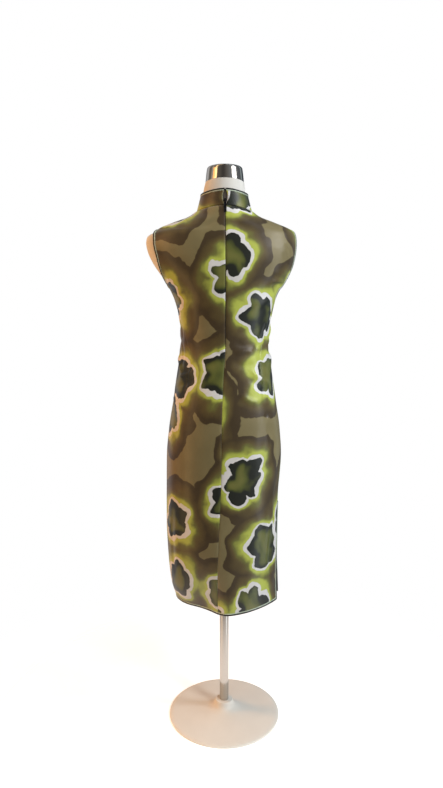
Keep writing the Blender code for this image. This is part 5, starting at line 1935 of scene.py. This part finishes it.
def placed(name, data, place, aim):
    """A lamp or a camera at a place, turned towards a point."""
    thing = bpy.data.objects.new(name, data)
    bpy.context.scene.collection.objects.link(thing)
    thing.location = place
    thing.rotation_euler = (aim - thing.location).to_track_quat("-Z", "Y").to_euler()
    return thing


class QIPAO_OT_stage(bpy.types.Operator):
    """Set the paper floor, the soft lights and the camera"""
    bl_idname = "qipao.stage"
    bl_label = "Studio"

    def execute(self, context):
        stage = settings(context, "stage")
        bm = bmesh.new()
        bmesh.ops.create_grid(bm, x_segments=8, y_segments=8, size=FLOOR_SIZE)
        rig.stage(add_object("studio_floor", bm, studio_paper(stage.floor)))
        white = linear("#FFFFFF")
        for lamp in (
            Lamp("key", (-1.9, 2.4, 2.6), 0.8, 72.0, white),
            Lamp("white gleam", (-2.6, 1.6, 2.6), 1.5, 34.0, white),
            Lamp("warm gleam", (2.6, 1.2, 2.4), 1.2, 12.0, tuple(stage.warm)),
            Lamp("warm side", (2.5, -0.2, 1.4), 0.8, 60.0, tuple(stage.warm)),
            Lamp("cool side", (-2.2, 0.7, 1.9), 0.5, 30.0, tuple(stage.cool)),
            Lamp("front fill", (0.4, -2.8, 2.2), 1.8, 16.0, white),
            Lamp("top", (0.0, 0.3, 3.4), 0.8, 14.0, white),
        ):
            self.add_lamp(lamp)
        self.add_world()
        self.add_camera(stage)
        context.scene.view_settings.view_transform = "Standard"
        return {"FINISHED"}

    def add_lamp(self, lamp):
        light = bpy.data.lights.new(lamp.name, "AREA")
        light.size = lamp.size
        light.energy = lamp.power
        light.color = lamp.tint
        thing = placed(lamp.name, light, lamp.place, LAMP_AIM)
        thing.visible_glossy = lamp.name in GLEAMS
        thing.visible_diffuse = lamp.name not in GLEAMS

    def add_world(self):
        """A white backdrop, and the room with its strip lights that everything else sees."""
        world = bpy.data.worlds.new("studio room")
        world.use_nodes = True
        tree = world.node_tree
        backdrop = tree.nodes["Background"]
        feed(tree, backdrop, Color=(1.0, 1.0, 1.0, 1.0))
        direction = add_node(tree, "SeparateXYZ",
                             _0=add_node(tree, "TexCoord").outputs["Generated"])
        azimuth = add_node(tree, "Math", operation="ARCTAN2", _0=direction.outputs["X"],
                           _1=direction.outputs["Y"])
        share = add_node(tree, "MapRange", _0=azimuth, _1=-math.pi, _2=math.pi)
        walls = add_node(tree, "ValToRGB", Fac=share, stops=[
            (degrees / 360 + 0.5, linear(code)) for degrees, code in ROOM])
        black = (0.0, 0.0, 0.0)
        stops = [(0.0, black)]
        for strip in STRIPS:
            tint = tuple(strip.strength / STRIPS_SCALE * v for v in linear(strip.tint))
            half = strip.width / 2
            for turn, shade in ((-half - STRIP_EDGE, black), (-half, tint), (half, tint),
                                (half + STRIP_EDGE, black)):
                stops.append(((strip.azimuth + turn) / 360 + 0.5, shade))
        strips = add_node(tree, "ValToRGB", Fac=share, stops=stops)
        lit = add_node(tree, "VectorMath", operation="MULTIPLY_ADD", _0=strips,
                       _1=(STRIPS_SCALE,) * 3, _2=walls)
        path = add_node(tree, "LightPath")
        level = add_node(tree, "MapRange", _0=path.outputs["Is Diffuse Ray"], _3=1.0,
                         _4=ROOM_SOFT_SHARE)
        room = add_node(tree, "Background", Color=lit, Strength=level)
        seen = add_node(tree, "MixShader", _0=path.outputs["Is Camera Ray"], _1=room, _2=backdrop)
        feed(tree, tree.nodes["World Output"], Surface=seen)
        bpy.context.scene.world = world

    def add_camera(self, stage):
        lens = bpy.data.cameras.new("camera")
        lens.sensor_width = SENSOR_HEIGHT
        lens.lens = SENSOR_HEIGHT * stage.lens_share
        place = (stage.distance * math.sin(stage.azimuth),
                 stage.distance * math.cos(stage.azimuth), stage.height)
        aim = Vector((CAMERA_AIM_X, 0.0, stage.height - stage.distance * math.tan(stage.dip)))
        bpy.context.scene.camera = placed("camera", lens, place, aim)


class QIPAO_PT_sidebar(bpy.types.Panel):
    """Lists the steps and the sizes and colours of the dress"""
    bl_idname = "QIPAO_PT_sidebar"
    bl_label = "Qipao on a dress form"
    bl_space_type = "VIEW_3D"
    bl_region_type = "UI"
    bl_category = "Qipao"

    def draw(self, context):
        for step in STEPS:
            self.layout.operator(step.bl_idname)
        for group, kind in GROUPS.items():
            box = self.layout.box()
            for name in kind.__annotations__:
                box.prop(settings(context, group), name)


STEPS = (QIPAO_OT_form, QIPAO_OT_stand, QIPAO_OT_panels, QIPAO_OT_collar, QIPAO_OT_trims,
         QIPAO_OT_stitching, QIPAO_OT_zip, QIPAO_OT_cut, QIPAO_OT_stage)
GROUPS = {"cloth": ClothSettings, "print": PrintSettings, "trim": TrimSettings,
          "form": FormSettings, "stage": StageSettings}


def register():
    for group, kind in GROUPS.items():
        bpy.utils.register_class(kind)
        setattr(bpy.types.Scene, f"qipao_{group}", PointerProperty(type=kind))
    for kind in (*STEPS, QIPAO_PT_sidebar):
        bpy.utils.register_class(kind)


def unregister():
    for kind in (QIPAO_PT_sidebar, *reversed(STEPS)):
        bpy.utils.unregister_class(kind)
    for group, kind in GROUPS.items():
        delattr(bpy.types.Scene, f"qipao_{group}")
        bpy.utils.unregister_class(kind)


def main():
    register()
    for thing in [item for item in bpy.data.objects if item.name in {"Cube", "Light", "Camera"}]:
        bpy.data.objects.remove(thing)
    for step in STEPS:
        category, name = step.bl_idname.split(".")
        getattr(getattr(bpy.ops, category), name)()
    boxes = {"cad": [list(corner) for corner in CAD_BOX],
             "visual": [list(corner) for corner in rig.bounds()]}
    with open("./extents.json", "w") as file:
        json.dump(boxes, file)


if __name__ == "__main__":
    main()
